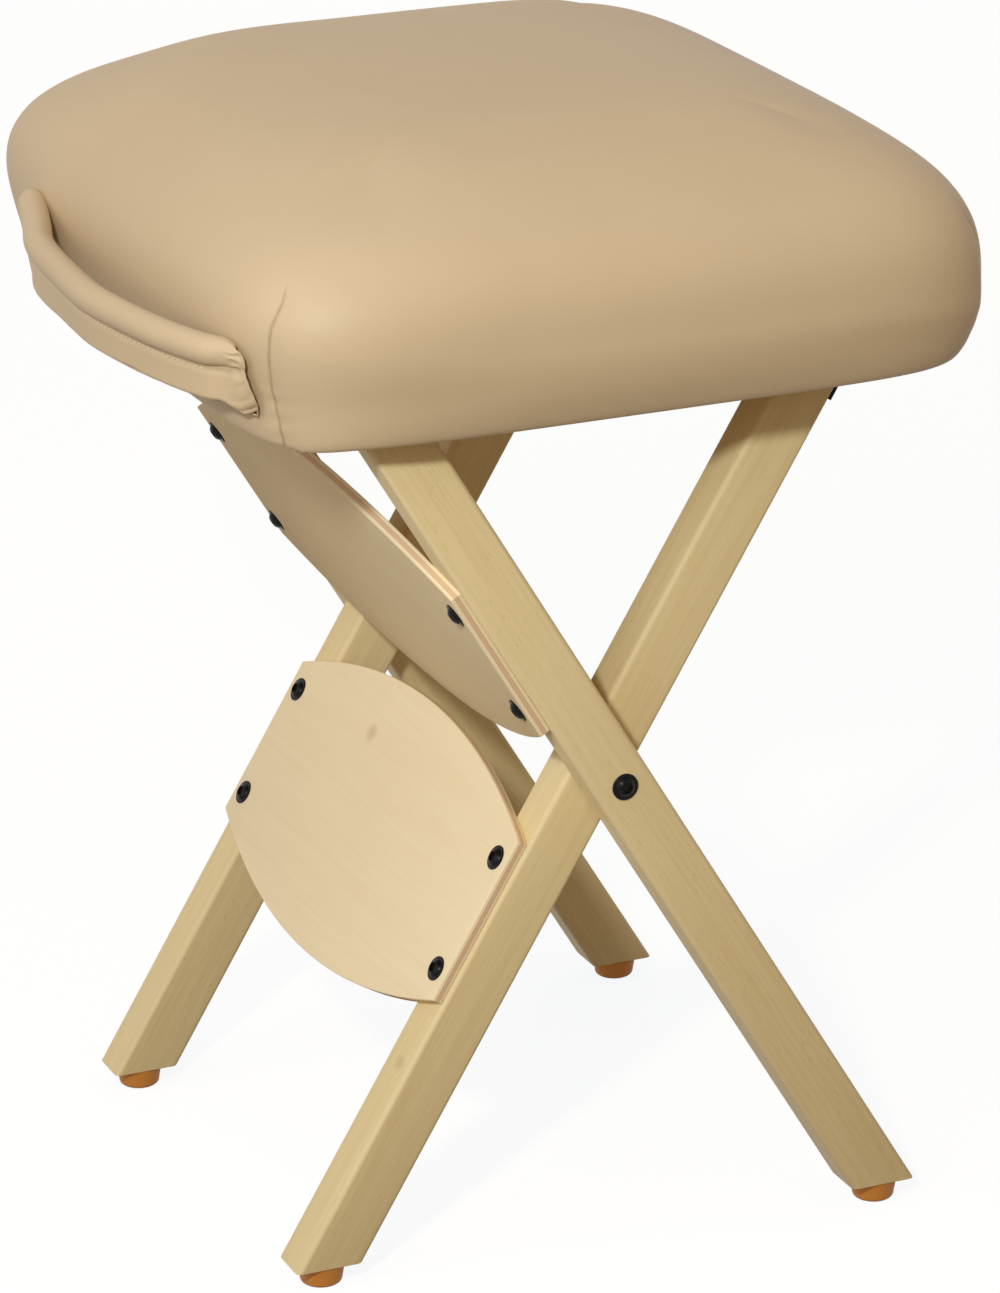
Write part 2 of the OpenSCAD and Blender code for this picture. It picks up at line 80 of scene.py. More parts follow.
class Pair(Enum):
    """The two crossed pairs of legs, with the sign of their turn about +Y."""

    OUTER = -1
    INNER = 1

    @property
    def word(self) -> str:
        """The pair as the nodes' names have it."""
        return self.name.lower()

    @property
    def body(self) -> str:
        """The body that the pair belongs to."""
        return self.word + "_frame"


class Drive(Enum):
    """Recess in a screw's head, with its word in a piece's name and its number of like directions."""

    HEX = "socketed", 6
    CROSS = "crossed", 4

    @property
    def word(self) -> str:
        """The recess as the pieces' names have it."""
        return self.value[0]

    @property
    def turn(self) -> float:
        """Angle after which the recess looks the same again, in radians."""
        return 2 * math.pi / self.value[1]


@dataclass(frozen=True)
class Layout:
    """Places that several sub-assemblies share, the same as in the part's source."""

    centre_x: float = 12.5 * MM
    pivot_h: float = 227.5 * MM
    foot_span: float = 264 * MM
    foot_h: float = 10 * MM
    board_z: float = 406 * MM
    board_t: float = 10 * MM
    leg_w: float = 27 * MM
    leg_t: float = 22.5 * MM
    frame_w: float = 304 * MM
    leg_gap: float = 2 * MM
    ply_t: float = 5.4 * MM
    rest_gap: float = 0.15 * MM
    knuckle_d: float = 6 * MM
    leaf_t: float = 1.5 * MM
    cleat_w: float = 17 * MM
    cleat_h: float = 14 * MM
    cleat_len: float = 284 * MM

    @property
    def lean(self) -> float:
        """Angle between a leg and the upright, in radians."""
        return math.atan(self.foot_span / 2 / (self.pivot_h - self.foot_h))

    @property
    def panel_face(self) -> float:
        """Where a panel's handle-side face lies in its legs' frame."""
        return -self.leg_w / 2 - self.ply_t

    @property
    def hinge_off(self) -> float:
        """Distance of the hinge pins from the board and from the legs."""
        return self.knuckle_d / 2 + self.rest_gap

    @property
    def hinge_pin(self) -> Vector:
        """Middle of the hinge pins' line."""
        z = self.board_z - self.hinge_off
        x = (self.leg_w / 2 + self.hinge_off + (z - self.pivot_h) * math.sin(self.lean)) / math.cos(self.lean)
        return Vector((self.centre_x + x, 0, z))

    @property
    def cleat_x(self) -> float:
        """Middle of the stop cleat along X, beside the outermost corners of the outer legs' tops."""
        corner = (self.board_z - self.pivot_h) * math.tan(self.lean) + self.leg_w / 2 / math.cos(self.lean)
        return self.centre_x - corner - self.rest_gap - self.cleat_w / 2

    def leg_y(self, pair: Pair) -> float:
        """Distance of a pair's leg middles from the stool's middle."""
        outer = self.frame_w / 2 - self.leg_t / 2
        return outer if pair is Pair.OUTER else outer - self.leg_t - self.leg_gap

    def leg_frame(self, pair: Pair) -> Matrix:
        """Frame of a pair: origin at the pivot, +Z up the leg, -X to the handle side."""
        turn = Matrix.Rotation(pair.value * self.lean, 4, "Y")
        return Matrix.Translation((self.centre_x, 0, self.pivot_h)) @ turn

    def leg_middle(self, pair: Pair, side: Side) -> Matrix:
        """Frame of one leg: its pair's frame, moved to the leg's middle."""
        return self.leg_frame(pair) @ Matrix.Translation((0, side.value * self.leg_y(pair), 0))


LAYOUT = Layout()


def rgb(red: int, green: int, blue: int) -> Colour:
    """Turns 0 to 255 display values into linear light.

    Args:
        red: Red from 0 to 255.
        green: Green from 0 to 255.
        blue: Blue from 0 to 255.

    Returns:
        The linear colour.
    """
    return tuple(
        c / 12.92 if c <= 0.04045 else ((c + 0.055) / 1.055) ** 2.4
        for c in (red / 255, green / 255, blue / 255)
    )


def ease(value: float, low: float, high: float) -> float:
    """Smooth step of value from 0 at low to 1 at high, where low may be the greater."""
    t = min(max((value - low) / (high - low), 0.0), 1.0)
    return t * t * (3 - 2 * t)


def hill(distance: float, width: float) -> float:
    """1 at no distance, falling smoothly to nearly 0 at twice the width."""
    return math.exp(-((distance / width) ** 2))


# Shader graphs


class Sock:
    """A shader socket that takes part in Python expressions."""

    def __init__(self, graph: "Graph", socket: bpy.types.NodeSocket) -> None:
        """Keeps the socket and the graph that it belongs to."""
        self.graph = graph
        self.socket = socket

    def _math(self, operation: str, *values: "Sock | float") -> "Sock":
        """One Math node on the given values."""
        return self.graph.take("Math", {"operation": operation}, dict(enumerate(values)))

    def __add__(self, other: "Sock | float") -> "Sock":
        """self + other."""
        return self._math("ADD", self, other)

    __radd__ = __add__

    def __sub__(self, other: "Sock | float") -> "Sock":
        """self - other."""
        return self._math("SUBTRACT", self, other)

    def __rsub__(self, other: float) -> "Sock":
        """other - self."""
        return self._math("SUBTRACT", other, self)

    def __mul__(self, other: "Sock | float") -> "Sock":
        """self * other."""
        return self._math("MULTIPLY", self, other)

    __rmul__ = __mul__

    def __truediv__(self, other: "Sock | float") -> "Sock":
        """self / other."""
        return self._math("DIVIDE", self, other)

    def __abs__(self) -> "Sock":
        """Size of self without its sign."""
        return self._math("ABSOLUTE", self)

    def top(self, other: "Sock | float") -> "Sock":
        """The greater of self and other."""
        return self._math("MAXIMUM", self, other)

    def part(self) -> "Sock":
        """What is left of self after its whole number."""
        return self._math("FRACT", self)

    def step(self, low: float, high: float) -> "Sock":
        """Smooth step from 0 at low to 1 at high, where low may be the greater."""
        sign = 1.0 if high > low else -1.0
        ends = {"Value": self * sign, "From Min": low * sign, "From Max": high * sign}
        return self.graph.take("MapRange", {"interpolation_type": "SMOOTHSTEP"}, ends)


class Graph:
    """A node tree, filled through expressions."""

    def __init__(self, tree: bpy.types.NodeTree) -> None:
        """Empties the tree."""
        self.tree = tree
        self.tree.nodes.clear()

    def node(self, kind: str, settings: dict | None = None, inputs: dict | None = None) -> bpy.types.Node:
        """Adds a node.

        Args:
            kind: The node's type without its ShaderNode prefix.
            settings: Properties, set before the sockets.
            inputs: Values, or sockets to link, by socket name or index.

        Returns:
            The new node.
        """
        node = self.tree.nodes.new("ShaderNode" + kind)
        for key, value in (settings or {}).items():
            setattr(node, key, value)
        for key, value in (inputs or {}).items():
            self.feed(node.inputs[key], value)
        return node

    def feed(self, socket: bpy.types.NodeSocket, value: object) -> None:
        """Links a socket to a Sock, or sets it to a number, vector or colour.

        Args:
            socket: The input.
            value: What it gets.
        """
        if isinstance(value, Sock):
            self.tree.links.new(value.socket, socket)
        elif socket.type == "RGBA":
            socket.default_value = (*value[:3], 1.0)
        else:
            socket.default_value = value

    def out(self, node: bpy.types.Node, name: str | int = 0) -> Sock:
        """An output of a node."""
        return Sock(self, node.outputs[name])

    def take(
        self, kind: str, settings: dict | None = None, inputs: dict | None = None, name: str | int = 0
    ) -> Sock:
        """Adds a node and gives one of its outputs."""
        return self.out(self.node(kind, settings, inputs), name)

    def place(self, local: Matrix | None = None) -> Sock:
        """Object coordinates, turned into a local frame where one is given.

        Args:
            local: The frame, or None for the shared one.

        Returns:
            The place as a vector.
        """
        here = self.take("TexCoord", name="Object")
        if local is None:
            return here
        back = local.inverted()
        turn = {"Vector": here, "Location": back.to_translation(), "Rotation": back.to_euler()}
        return self.take("Mapping", inputs=turn)

    def stretch(self, vector: Sock, scale: Sequence[float], shift: Sequence[float] = (0, 0, 0)) -> Sock:
        """A vector scaled along each axis and shifted."""
        return self.take("Mapping", inputs={"Vector": vector, "Scale": scale, "Location": shift})

    def grain(
        self, vector: Sock, scale: Sequence[float], shift: Sequence[float], detail: float = 2.0,
        rough: float = 0.5, bend: float = 0.0,
    ) -> Sock:
        """Noise with its own scale along each axis."""
        return self.noise(self.stretch(vector, scale, shift), 1.0, detail, rough, bend)

    def noise(
        self, vector: Sock, scale: float, detail: float = 2.0, rough: float = 0.5, bend: float = 0.0
    ) -> Sock:
        """Noise from 0 to 1."""
        values = {"Vector": vector, "Scale": scale, "Detail": detail, "Roughness": rough, "Distortion": bend}
        return self.take("TexNoise", inputs=values)

    def axes(self, vector: Sock) -> tuple[Sock, Sock, Sock]:
        """The three parts of a vector."""
        split = self.node("SeparateXYZ", inputs={0: vector})
        return self.out(split, 0), self.out(split, 1), self.out(split, 2)

    def mark(self, name: str) -> Sock:
        """A number painted on the mesh's points."""
        return self.take("Attribute", {"attribute_name": name}, name="Fac")

    def mix(self, share: Sock | float, first: Sock | Colour, second: Sock | Colour, how: str = "MIX") -> Sock:
        """Mixes two colours, from first at 0 to second at 1."""
        ends = {0: share, 6: first, 7: second}
        return self.take("Mix", {"data_type": "RGBA", "blend_type": how}, ends, 2)

    def shade(self, level: Sock, colour: Sock | Colour) -> Sock:
        """A colour darkened or lightened by a number around 1."""
        grey = self.take("CombineColor", inputs={0: level, 1: level, 2: level})
        return self.mix(1.0, colour, grey, "MULTIPLY")

    def background_seen(self) -> Sock:
        """1 where a ray shows the background: seen by the camera, in gloss or through glass."""
        path = self.node("LightPath")
        straight = self.out(path, "Is Camera Ray")
        return straight.top(self.out(path, "Is Glossy Ray")).top(self.out(path, "Is Transmission Ray"))


class Skin(Graph):
    """The node tree of one material, with its Principled shader."""

    def __init__(self, name: str) -> None:
        """Starts the material with a shader and an output.

        Args:
            name: The material's name.
        """
        self.material = bpy.data.materials.new(name)
        self.material.use_nodes = True
        super().__init__(self.material.node_tree)
        self.shader = self.node("BsdfPrincipled")
        self.output = self.node("OutputMaterial", inputs={"Surface": self.out(self.shader)})

    def bump(self, height: Sock, depth: float, strength: float = 1.0) -> None:
        """Raises the surface by height times depth, in metres."""
        relief = {"Height": height, "Distance": depth, "Strength": strength}
        self.set(Normal=self.take("Bump", inputs=relief))

    def rubbed(self, colour: Sock, tint: Colour, marks: Smudges) -> Sock:
        """A colour with faint rubbed marks, each given by its middle, radius and strength.

        Args:
            colour: The clean colour.
            tint: The marks' colour.
            marks: Middle, radius and strength of each.

        Returns:
            The colour with its marks.
        """
        for middle, radius, strength in marks:
            gap = self.take("VectorMath", {"operation": "DISTANCE"}, {0: self.place(), 1: middle}, "Value")
            share = gap.step(radius, radius * 0.2) * (0.6 + 0.5 * self.noise(self.place(), 260, 2))
            colour = self.mix(share * strength, colour, tint)
        return colour

    def set(self, **values: object) -> None:
        """Sets or links the shader's sockets; an underscore in a name stands for a space."""
        for name, value in values.items():
            self.feed(self.shader.inputs[name.replace("_", " ")], value)


# Finishes


@dataclass(frozen=True)
class LegWood:
    """Lacquered pale hardwood with its grain along a leg or a rail, and a painted highlight along its long
    rounded edges.
    """

    light: Colour = rgb(237, 219, 170)
    dark: Colour = rgb(223, 200, 148)
    fleck: Colour = rgb(192, 165, 116)
    end: Colour = rgb(160, 122, 78)
    # Painted highlight along the long rounded edges: its colour, how wide it runs and how strongly it shows.
    rim: Colour = rgb(228, 208, 170)
    rim_w: float = 3 * MM
    highlight_share: float = 0.5
    cut_edge: tuple[float, float] = (0.3 * MM, 0.1 * MM)

    def material(
        self, name: str, local: Matrix, half: tuple[float, float], seed: float, cuts: tuple[float, float],
        smudges: Smudges = (),
    ) -> Material:
        """Builds the wood for one bar.

        Args:
            name: The material's name.
            local: Frame of the bar, with +Z along its grain.
            half: Half of the bar's width and thickness along the frame's X and Y.
            seed: Shift of the pattern, so that no two bars look alike.
            cuts: Heights at which the bar is cut across its grain.
            smudges: Middle, radius and strength of each faint rubbed mark.

        Returns:
            The material.
        """
        g = Skin(name)
        spot = g.place(local)
        shift = (seed, seed * 1.7, seed * 0.6)
        fibre = g.grain(spot, (650, 650, 16), shift, 4, 0.62, 0.4)
        band = g.grain(spot, (75, 75, 2.6), shift, 3, 0.55, 1.2)
        cloud = g.grain(spot, (16, 16, 5), shift)
        fleck = g.grain(spot, (1500, 1500, 230), shift, 1).step(0.66, 0.78)
        tone = fibre * 0.5 + band * 0.32 + cloud * 0.25
        colour = g.mix(tone.step(0.3, 0.8), self.light, self.dark)
        colour = g.rubbed(g.mix(fleck * 0.4, colour, self.fleck), self.fleck, smudges)
        x, y, _ = g.axes(spot)
        # Painted highlight: lightens the long rounded edges, where they catch the light.
        rim = abs(x).step(half[0] - self.rim_w, half[0]) * abs(y).step(half[1] - self.rim_w, half[1])
        colour = g.mix(rim * self.highlight_share, colour, self.rim)
        _, _, height = g.axes(g.place())
        (low, high), (start, full) = cuts, self.cut_edge
        cut = height.step(low + start, low + full).top(height.step(high - start, high - full))
        pores = g.noise(g.place(), 1400, 2)
        colour = g.mix(cut * (0.35 + 0.5 * pores), colour, self.end)
        g.set(Base_Color=colour, Roughness=0.46 + 0.16 * fibre, Specular_IOR_Level=0.25)
        g.bump(fibre * 0.6 - fleck * 0.5, 0.05 * MM, 0.7)
        return g.material


@dataclass(frozen=True)
class SheetPly:
    """Smooth plywood: a pale face with fine grain along Y and darker plies on its edges."""

    face: Colour = rgb(246, 230, 194)
    shade: Colour = rgb(240, 221, 183)
    long_ply: Colour = rgb(232, 202, 168)
    cross_ply: Colour = rgb(224, 189, 151)
    glue: Colour = rgb(168, 122, 82)
    smudge: Colour = rgb(176, 150, 112)

    def material(
        self, name: str, local: Matrix, axis: int, low: float, thick: float, plies: int, seed: float,
        smudges: Smudges = (),
    ) -> Material:
        """Builds the plywood of one sheet.

        Args:
            name: The material's name.
            local: Frame of the sheet, whose grain runs along Y.
            axis: 0 where the sheet is thin along the frame's X, 2 where it is thin along Z.
            low: Where the sheet starts along that axis.
            thick: The sheet's thickness.
            plies: Number of plies, an odd number.
            seed: Shift of the pattern.
            smudges: Middle, radius and strength of each faint rubbed mark.

        Returns:
            The material.
        """
        g = Skin(name)
        spot = g.place(local)
        shift = (seed, seed * 1.3, seed * 0.7)
        fibre = g.grain(spot, (420, 14, 420), shift, 4, 0.6, 0.3)
        wave = g.grain(spot, (30, 5, 60), shift, 3, 0.5, 1.4)
        cloud = g.grain(spot, (9, 7, 9), shift, 1)
        tone = fibre * 0.4 + wave * 0.3 + cloud * 0.3
        face = g.mix(tone.step(0.3, 0.8), self.face, self.shade)
        face = g.rubbed(face, self.smudge, smudges)
        depth = (g.axes(spot)[axis] - low) / (thick / plies)
        inside = depth.step(0.93, 0.99) * depth.step(plies - 0.93, plies - 0.99)
        line = abs((depth + 0.5).part() - 0.5).step(0.1, 0.03)
        turn = abs((depth / 2).part() - 0.75).step(0.26, 0.24)
        edge = g.mix(turn * (0.6 + 0.4 * fibre), self.long_ply, self.cross_ply)
        edge = g.mix(line * 0.6, edge, self.glue)
        colour = g.mix(inside, face, edge)
        g.set(Base_Color=colour, Roughness=0.7 + 0.15 * fibre + 0.1 * inside, Specular_IOR_Level=0.03)
        g.bump(fibre - inside * 0.8, 0.03 * MM, 0.6)
        return g.material


@dataclass(frozen=True)
class SeatVinyl:
    """Soft upholstery vinyl with a fine pebbled grain, and painted shade along its seams and creases."""

    colour: Colour = rgb(209, 187, 153)
    deep: Colour = rgb(199, 176, 140)
    # Colour of the painted shade in seams and creases.
    crease: Colour = rgb(112, 76, 44)

    def material(self, name: str) -> Material:
        """Builds the vinyl, whose mesh has the attribute seam that sets the painted shade in its seams and
        creases.

        Args:
            name: The material's name.

        Returns:
            The material.
        """
        g = Skin(name)
        spot = g.place()
        cells = g.take("TexVoronoi", {"feature": "F1"}, {"Vector": spot, "Scale": 900.0}, "Distance")
        fine = g.noise(spot, 1600, 3, 0.6)
        soft = g.noise(spot, 9, 2)
        mottle = g.noise(spot, 60, 3, 0.55)
        tone = soft * 0.7 + mottle * 0.3
        colour = g.mix(tone.step(0.3, 0.75) * 0.35, self.colour, self.deep)
        # Painted shade: darkens the vinyl along the dart seams and the handle's creases, where shade falls in
        # the grooves.
        colour = g.mix(g.mark("seam") * 0.8, colour, self.crease)
        g.set(Base_Color=colour, Roughness=0.47 + 0.08 * fine + 0.04 * soft, Specular_IOR_Level=0.28)
        g.bump(cells * 0.7 + fine * 0.3, 0.06 * MM, 0.5)
        return g.material


@dataclass(frozen=True)
class Metal:
    """Bare or blackened metal with fine marks."""

    colour: Colour
    metallic: float = 1.0
    rough: float = 0.34
    gloss: float = 0.5

    def material(self, name: str) -> Material:
        """Builds the metal.

        Args:
            name: The material's name.

        Returns:
            The material.
        """
        g = Skin(name)
        spot = g.place()
        marks = g.noise(g.stretch(spot, (1, 1, 6)), 380, 4, 0.65)
        dust = g.noise(spot, 120, 3).step(0.45, 0.8)
        colour = g.shade(0.86 + 0.28 * marks, self.colour)
        g.set(Base_Color=colour, Roughness=self.rough + 0.12 * marks + 0.1 * dust)
        g.set(Metallic=self.metallic, Specular_IOR_Level=self.gloss)
        g.bump(marks, 0.02 * MM, 0.5)
        return g.material


@dataclass(frozen=True)
class FootRubber:
    """Amber crepe rubber, darker towards the floor."""

    colour: Colour = rgb(205, 133, 46)
    darker_tone: Colour = rgb(182, 112, 40)

    def material(self, name: str) -> Material:
        """Builds the rubber.

        Args:
            name: The material's name.

        Returns:
            The material.
        """
        g = Skin(name)
        spot = g.place()
        crumb = g.noise(spot, 700, 3, 0.6)
        patch = g.noise(spot, 90, 2)
        _, _, height = g.axes(spot)
        # Darker in the last few millimetres towards the floor, broken up by the crumb.
        floor_darkening = height.step(4 * MM, 0.5 * MM) * (0.4 + 0.6 * crumb)
        colour = g.mix(patch * 0.35 + floor_darkening * 0.4, self.colour, self.darker_tone)
        g.set(Base_Color=colour, Roughness=0.46 + 0.16 * crumb)
        g.bump(crumb, 0.05 * MM, 0.5)
        return g.material


@dataclass(frozen=True)
class Thread:
    """Twisted sewing thread a shade lighter than the vinyl."""

    colour: Colour = rgb(226, 208, 178)

    def material(self, name: str) -> Material:
        """Builds the thread.

        Args:
            name: The material's name.

        Returns:
            The material.
        """
        g = Skin(name)
        waves = {"Vector": g.place(), "Scale": 700.0}
        twist = g.take("TexWave", {"bands_direction": "DIAGONAL"}, waves, "Fac")
        g.set(Base_Color=g.shade(0.82 + 0.22 * twist, self.colour), Roughness=0.6 + 0.1 * twist)
        g.bump(twist, 0.06 * MM, 0.6)
        return g.material


BLACK_SCREW = Metal(rgb(13, 11, 10), metallic=0.0, rough=0.24, gloss=0.12)
BLACK_HINGE = Metal(rgb(15, 13, 12), metallic=0.0, rough=0.4, gloss=0.1)
STEEL = Metal(rgb(176, 178, 180))
BRASS = Metal(rgb(196, 160, 84), rough=0.3)


# Studio


@dataclass(frozen=True)
class Studio:
    """Pale floor, soft lamps and the camera."""

    yaw: float = 23.82
    pitch: float = 20.05
    roll: float = -0.29
    focal_px: float = 5454.0
    frame_px: tuple[int, int] = (1000, 1293)
    shift_px: tuple[float, float] = (-14.9, 182.0)
    distance: float = 2.530
    target: tuple[float, float, float] = (12.5 * MM, 0.0, 152.1 * MM)
    floor_colour: Colour = rgb(128, 113, 93)
    floor_white: Colour = (0.945, 0.985, 1.015)
    floor_glow: float = 0.9
    sky_light: float = 0.42
    sky_colour: Colour = (1.0, 0.76, 0.52)
    white: Colour = (1.0, 1.0, 1.0)
    lit_spot: tuple[float, float, float] = (-0.05, -0.1, 0.3)
    sensor_h: float = 36.0
    floor_half: float = 30.0

    def camera(self) -> None:
        """Stands the camera where the photograph was taken from."""
        yaw, pitch, roll = (math.radians(a) for a in (self.yaw, self.pitch, self.roll))
        ahead = Vector((math.sin(yaw) * math.cos(pitch), math.cos(yaw) * math.cos(pitch), -math.sin(pitch)))
        level = Vector((math.cos(yaw), -math.sin(yaw), 0))
        upright = level.cross(ahead)
        right = math.cos(roll) * level + math.sin(roll) * upright
        up = math.cos(roll) * upright - math.sin(roll) * level
        px = self.distance / self.focal_px
        spot = Vector(self.target) - self.distance * ahead
        spot += -self.shift_px[0] * px * right + self.shift_px[1] * px * up
        data = bpy.data.cameras.new("camera")
        data.sensor_fit = "VERTICAL"
        data.sensor_height = self.sensor_h
        data.lens = self.focal_px / self.frame_px[1] * self.sensor_h
        data.clip_start, data.clip_end = 0.1, 50.0
        camera = bpy.data.objects.new("camera", data)
        camera.matrix_world = Matrix.Translation(spot) @ Matrix((right, up, -ahead)).transposed().to_4x4()
        bpy.context.scene.collection.objects.link(camera)
        bpy.context.scene.camera = camera

    def soft_light(
        self, name: str, towards: Sequence[float], strength: float, spread: float, colour: Colour
    ) -> None:
        """Adds a far, broad light.

        Args:
            name: The light's name.
            towards: Direction from the stool to the light.
            strength: Light that reaches a surface facing it.
            spread: Angle that the light fills in the sky, in degrees.
            colour: Linear colour of the light.
        """
        data = bpy.data.lights.new(name, "SUN")
        data.energy, data.angle, data.color = strength, math.radians(spread), colour
        self._hang(data, towards, Vector())

    def lamp(
        self, name: str, towards: Sequence[float], distance: float, strength: float, width: float,
        colour: Colour,
    ) -> None:
        """Adds a round lamp near the stool, so that its light falls off across the stool.

        Args:
            name: The lamp's name.
            towards: Direction from the stool to the lamp.
            distance: How far the lamp stands from the lit spot.
            strength: Light that reaches a surface facing it there.
            width: The lamp's diameter.
            colour: Linear colour of the light.
        """
        data = bpy.data.lights.new(name, "AREA")
        data.shape, data.size, data.color = "DISK", width, colour
        data.energy = strength * math.pi * distance ** 2
        self._hang(data, towards, Vector(self.lit_spot) + distance * Vector(towards).normalized())

    @staticmethod
    def _hang(data: bpy.types.Light, towards: Sequence[float], spot: Vector) -> None:
        """Puts a light at a spot, shining back from a direction.

        Args:
            data: The light.
            towards: Direction from the stool to it.
            spot: Where it hangs.
        """
        light = bpy.data.objects.new(data.name, data)
        turn = Vector(towards).to_track_quat("Z", "Y").to_matrix().to_4x4()
        light.matrix_world = Matrix.Translation(spot) @ turn
        bpy.context.scene.collection.objects.link(light)

    def floor(self) -> None:
        """Lays a floor that the camera sees as white, with the stool's shadow on it."""
        bm = bmesh.new()
        bmesh.ops.create_grid(bm, x_segments=1, y_segments=1, size=self.floor_half)
        floor = shown(bm, "floor")
        g = Skin("floor")
        g.set(Base_Color=self.floor_colour, Roughness=0.9, Specular_IOR_Level=0.1)
        bright = g.background_seen() * self.floor_glow
        glow = g.take("Emission", inputs={"Color": self.floor_white, "Strength": bright})
        g.feed(g.output.inputs["Surface"], g.take("AddShader", inputs={0: g.out(g.shader), 1: glow}))
        floor.data.materials.append(g.material)

    def sky(self) -> None:
        """Gives soft light from all sides, and white where the camera sees past the floor."""
        world = bpy.data.worlds.new("sky")
        world.use_nodes = True
        bpy.context.scene.world = world
        g = Graph(world.node_tree)
        soft = g.take("Background", inputs={"Color": self.sky_colour, "Strength": self.sky_light})
        back = g.take("Background", inputs={"Color": self.white, "Strength": 1.0})
        either = g.take("MixShader", inputs={0: g.background_seen(), 1: soft, 2: back})
        g.node("OutputWorld", inputs={"Surface": either})

    def build(self) -> None:
        """Sets up the whole studio."""
        bpy.context.scene.view_settings.view_transform = "Standard"
        self.camera()
        self.floor()
        self.sky()
        self.lamp(
            "key lamp", towards=(-0.50, -0.68, 0.52), distance=1.6, strength=1.7, width=0.12,
            colour=(0.93, 0.97, 0.95),
        )
        self.soft_light(
            "left light", towards=(-0.85, -0.20, 0.42), strength=0.7, spread=50, colour=(0.92, 1.0, 1.15)
        )
        self.soft_light("top light", towards=(0.1, 0.1, 1.0), strength=0.2, spread=70, colour=(0.3, 0.7, 1.3))


# Making and dressing pieces


def wrap(
    around: int, lengthways: int, place: Callable[[float, float], Vector],
    mark: Callable[[float, float], float] | None = None,
) -> Mesh:
    """Rolls a grid into a tube, gives it a shape and closes its ends.

    Args:
        around: Number of faces round the tube.
        lengthways: Number of faces along it.
        place: Where a point goes, from its shares round and along the tube.
        mark: How strong the painted seam and crease shade is at a point, from the same shares.

    Returns:
        The closed shape.
    """
    bm = bmesh.new()
    bmesh.ops.create_grid(bm, x_segments=around, y_segments=lengthways, size=0.5)
    layer = bm.verts.layers.float.new("seam") if mark else None
    for vert in bm.verts:
        shares = vert.co.x + 0.5, vert.co.y + 0.5
        if layer:
            vert[layer] = mark(*shares)
        vert.co = place(*shares)
    bmesh.ops.remove_doubles(bm, verts=bm.verts[:], dist=1e-6)
    bmesh.ops.holes_fill(bm, edges=[e for e in bm.edges if e.is_boundary])
    bmesh.ops.recalc_face_normals(bm, faces=bm.faces[:])
    return bm


def moved(bm: Mesh, place: Matrix) -> Mesh:
    """The shape itself, moved to a place."""
    bmesh.ops.transform(bm, matrix=place, verts=bm.verts[:])
    return bm


def only(kind: type, found: Iterable) -> list:
    """The vertices or the edges among what an operator gives back."""
    return [item for item in found if isinstance(item, kind)]


def box(size: Sequence[float]) -> Mesh:
    """A box about the origin.

    Args:
        size: Its sizes along X, Y and Z.

    Returns:
        The box.
    """
    bm = bmesh.new()
    bmesh.ops.create_cube(bm, size=1.0)
    bmesh.ops.scale(bm, vec=size, verts=bm.verts[:])
    return bm


def soften(bm: Mesh, edges: Iterable[Edge], size: float, segments: int) -> None:
    """Rounds some edges."""
    bmesh.ops.bevel(
        bm, geom=list(edges), offset=size, segments=segments, profile=0.5, affect="EDGES", material=-1
    )


def joined(shapes: Iterable[Mesh]) -> Mesh:
    """One shape of several, which are freed.

    Args:
        shapes: The shapes.

    Returns:
        All of them as one.
    """
    whole = bmesh.new()
    for shape in shapes:
        part = bpy.data.meshes.new("part")
        shape.to_mesh(part)
        shape.free()
        whole.from_mesh(part)
        bpy.data.meshes.remove(part)
    return whole


def shown(bm: Mesh, name: str, keep: bool = False) -> Piece:
    """Puts a shape into the scene as an object, and frees the shape unless it is kept.

    Args:
        bm: The shape.
        name: The object's name.
        keep: True where the shape is used again.

    Returns:
        The object.
    """
    mesh = bpy.data.meshes.new(name)
    bm.to_mesh(mesh)
    if not keep:
        bm.free()
    piece = bpy.data.objects.new(name, mesh)
    bpy.context.scene.collection.objects.link(piece)
    return piece


@dataclass(frozen=True)
class Dress:
    """What a new piece rides on, is made of and stands for."""

    body: str
    slot: str
    material: Material
    nodes: tuple[str, ...] = ()
    sharp: float = 35.0

    def put(self, bm: Mesh, name: str) -> Piece:
        """Makes a piece of a shape.

        Args:
            bm: The shape, in the shared frame; it is freed.
            name: The piece's name.

        Returns:
            The piece, dressed and in the scene.
        """
        piece = shown(bm, name)
        mesh = piece.data
        mesh.polygons.foreach_set("use_smooth", [True] * len(mesh.polygons))
        mesh.set_sharp_from_angle(angle=math.radians(self.sharp))
        mesh.materials.append(self.material)
        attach(piece, self.body)
        if self.nodes:
            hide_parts(*self.nodes)
        log.info("%s: %d faces, rides on %s", name, len(mesh.polygons), self.body)
        return piece


def paint(material: Material, *nodes: str) -> None:
    """Gives nodes that keep their shape a better material.

    Args:
        material: The material.
        nodes: The nodes' names.
    """
    for name in nodes:
        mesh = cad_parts[name].data
        mesh.materials.clear()
        mesh.materials.append(material)
        log.info("%s: kept, with %s", name, material.name)


# Wooden frame


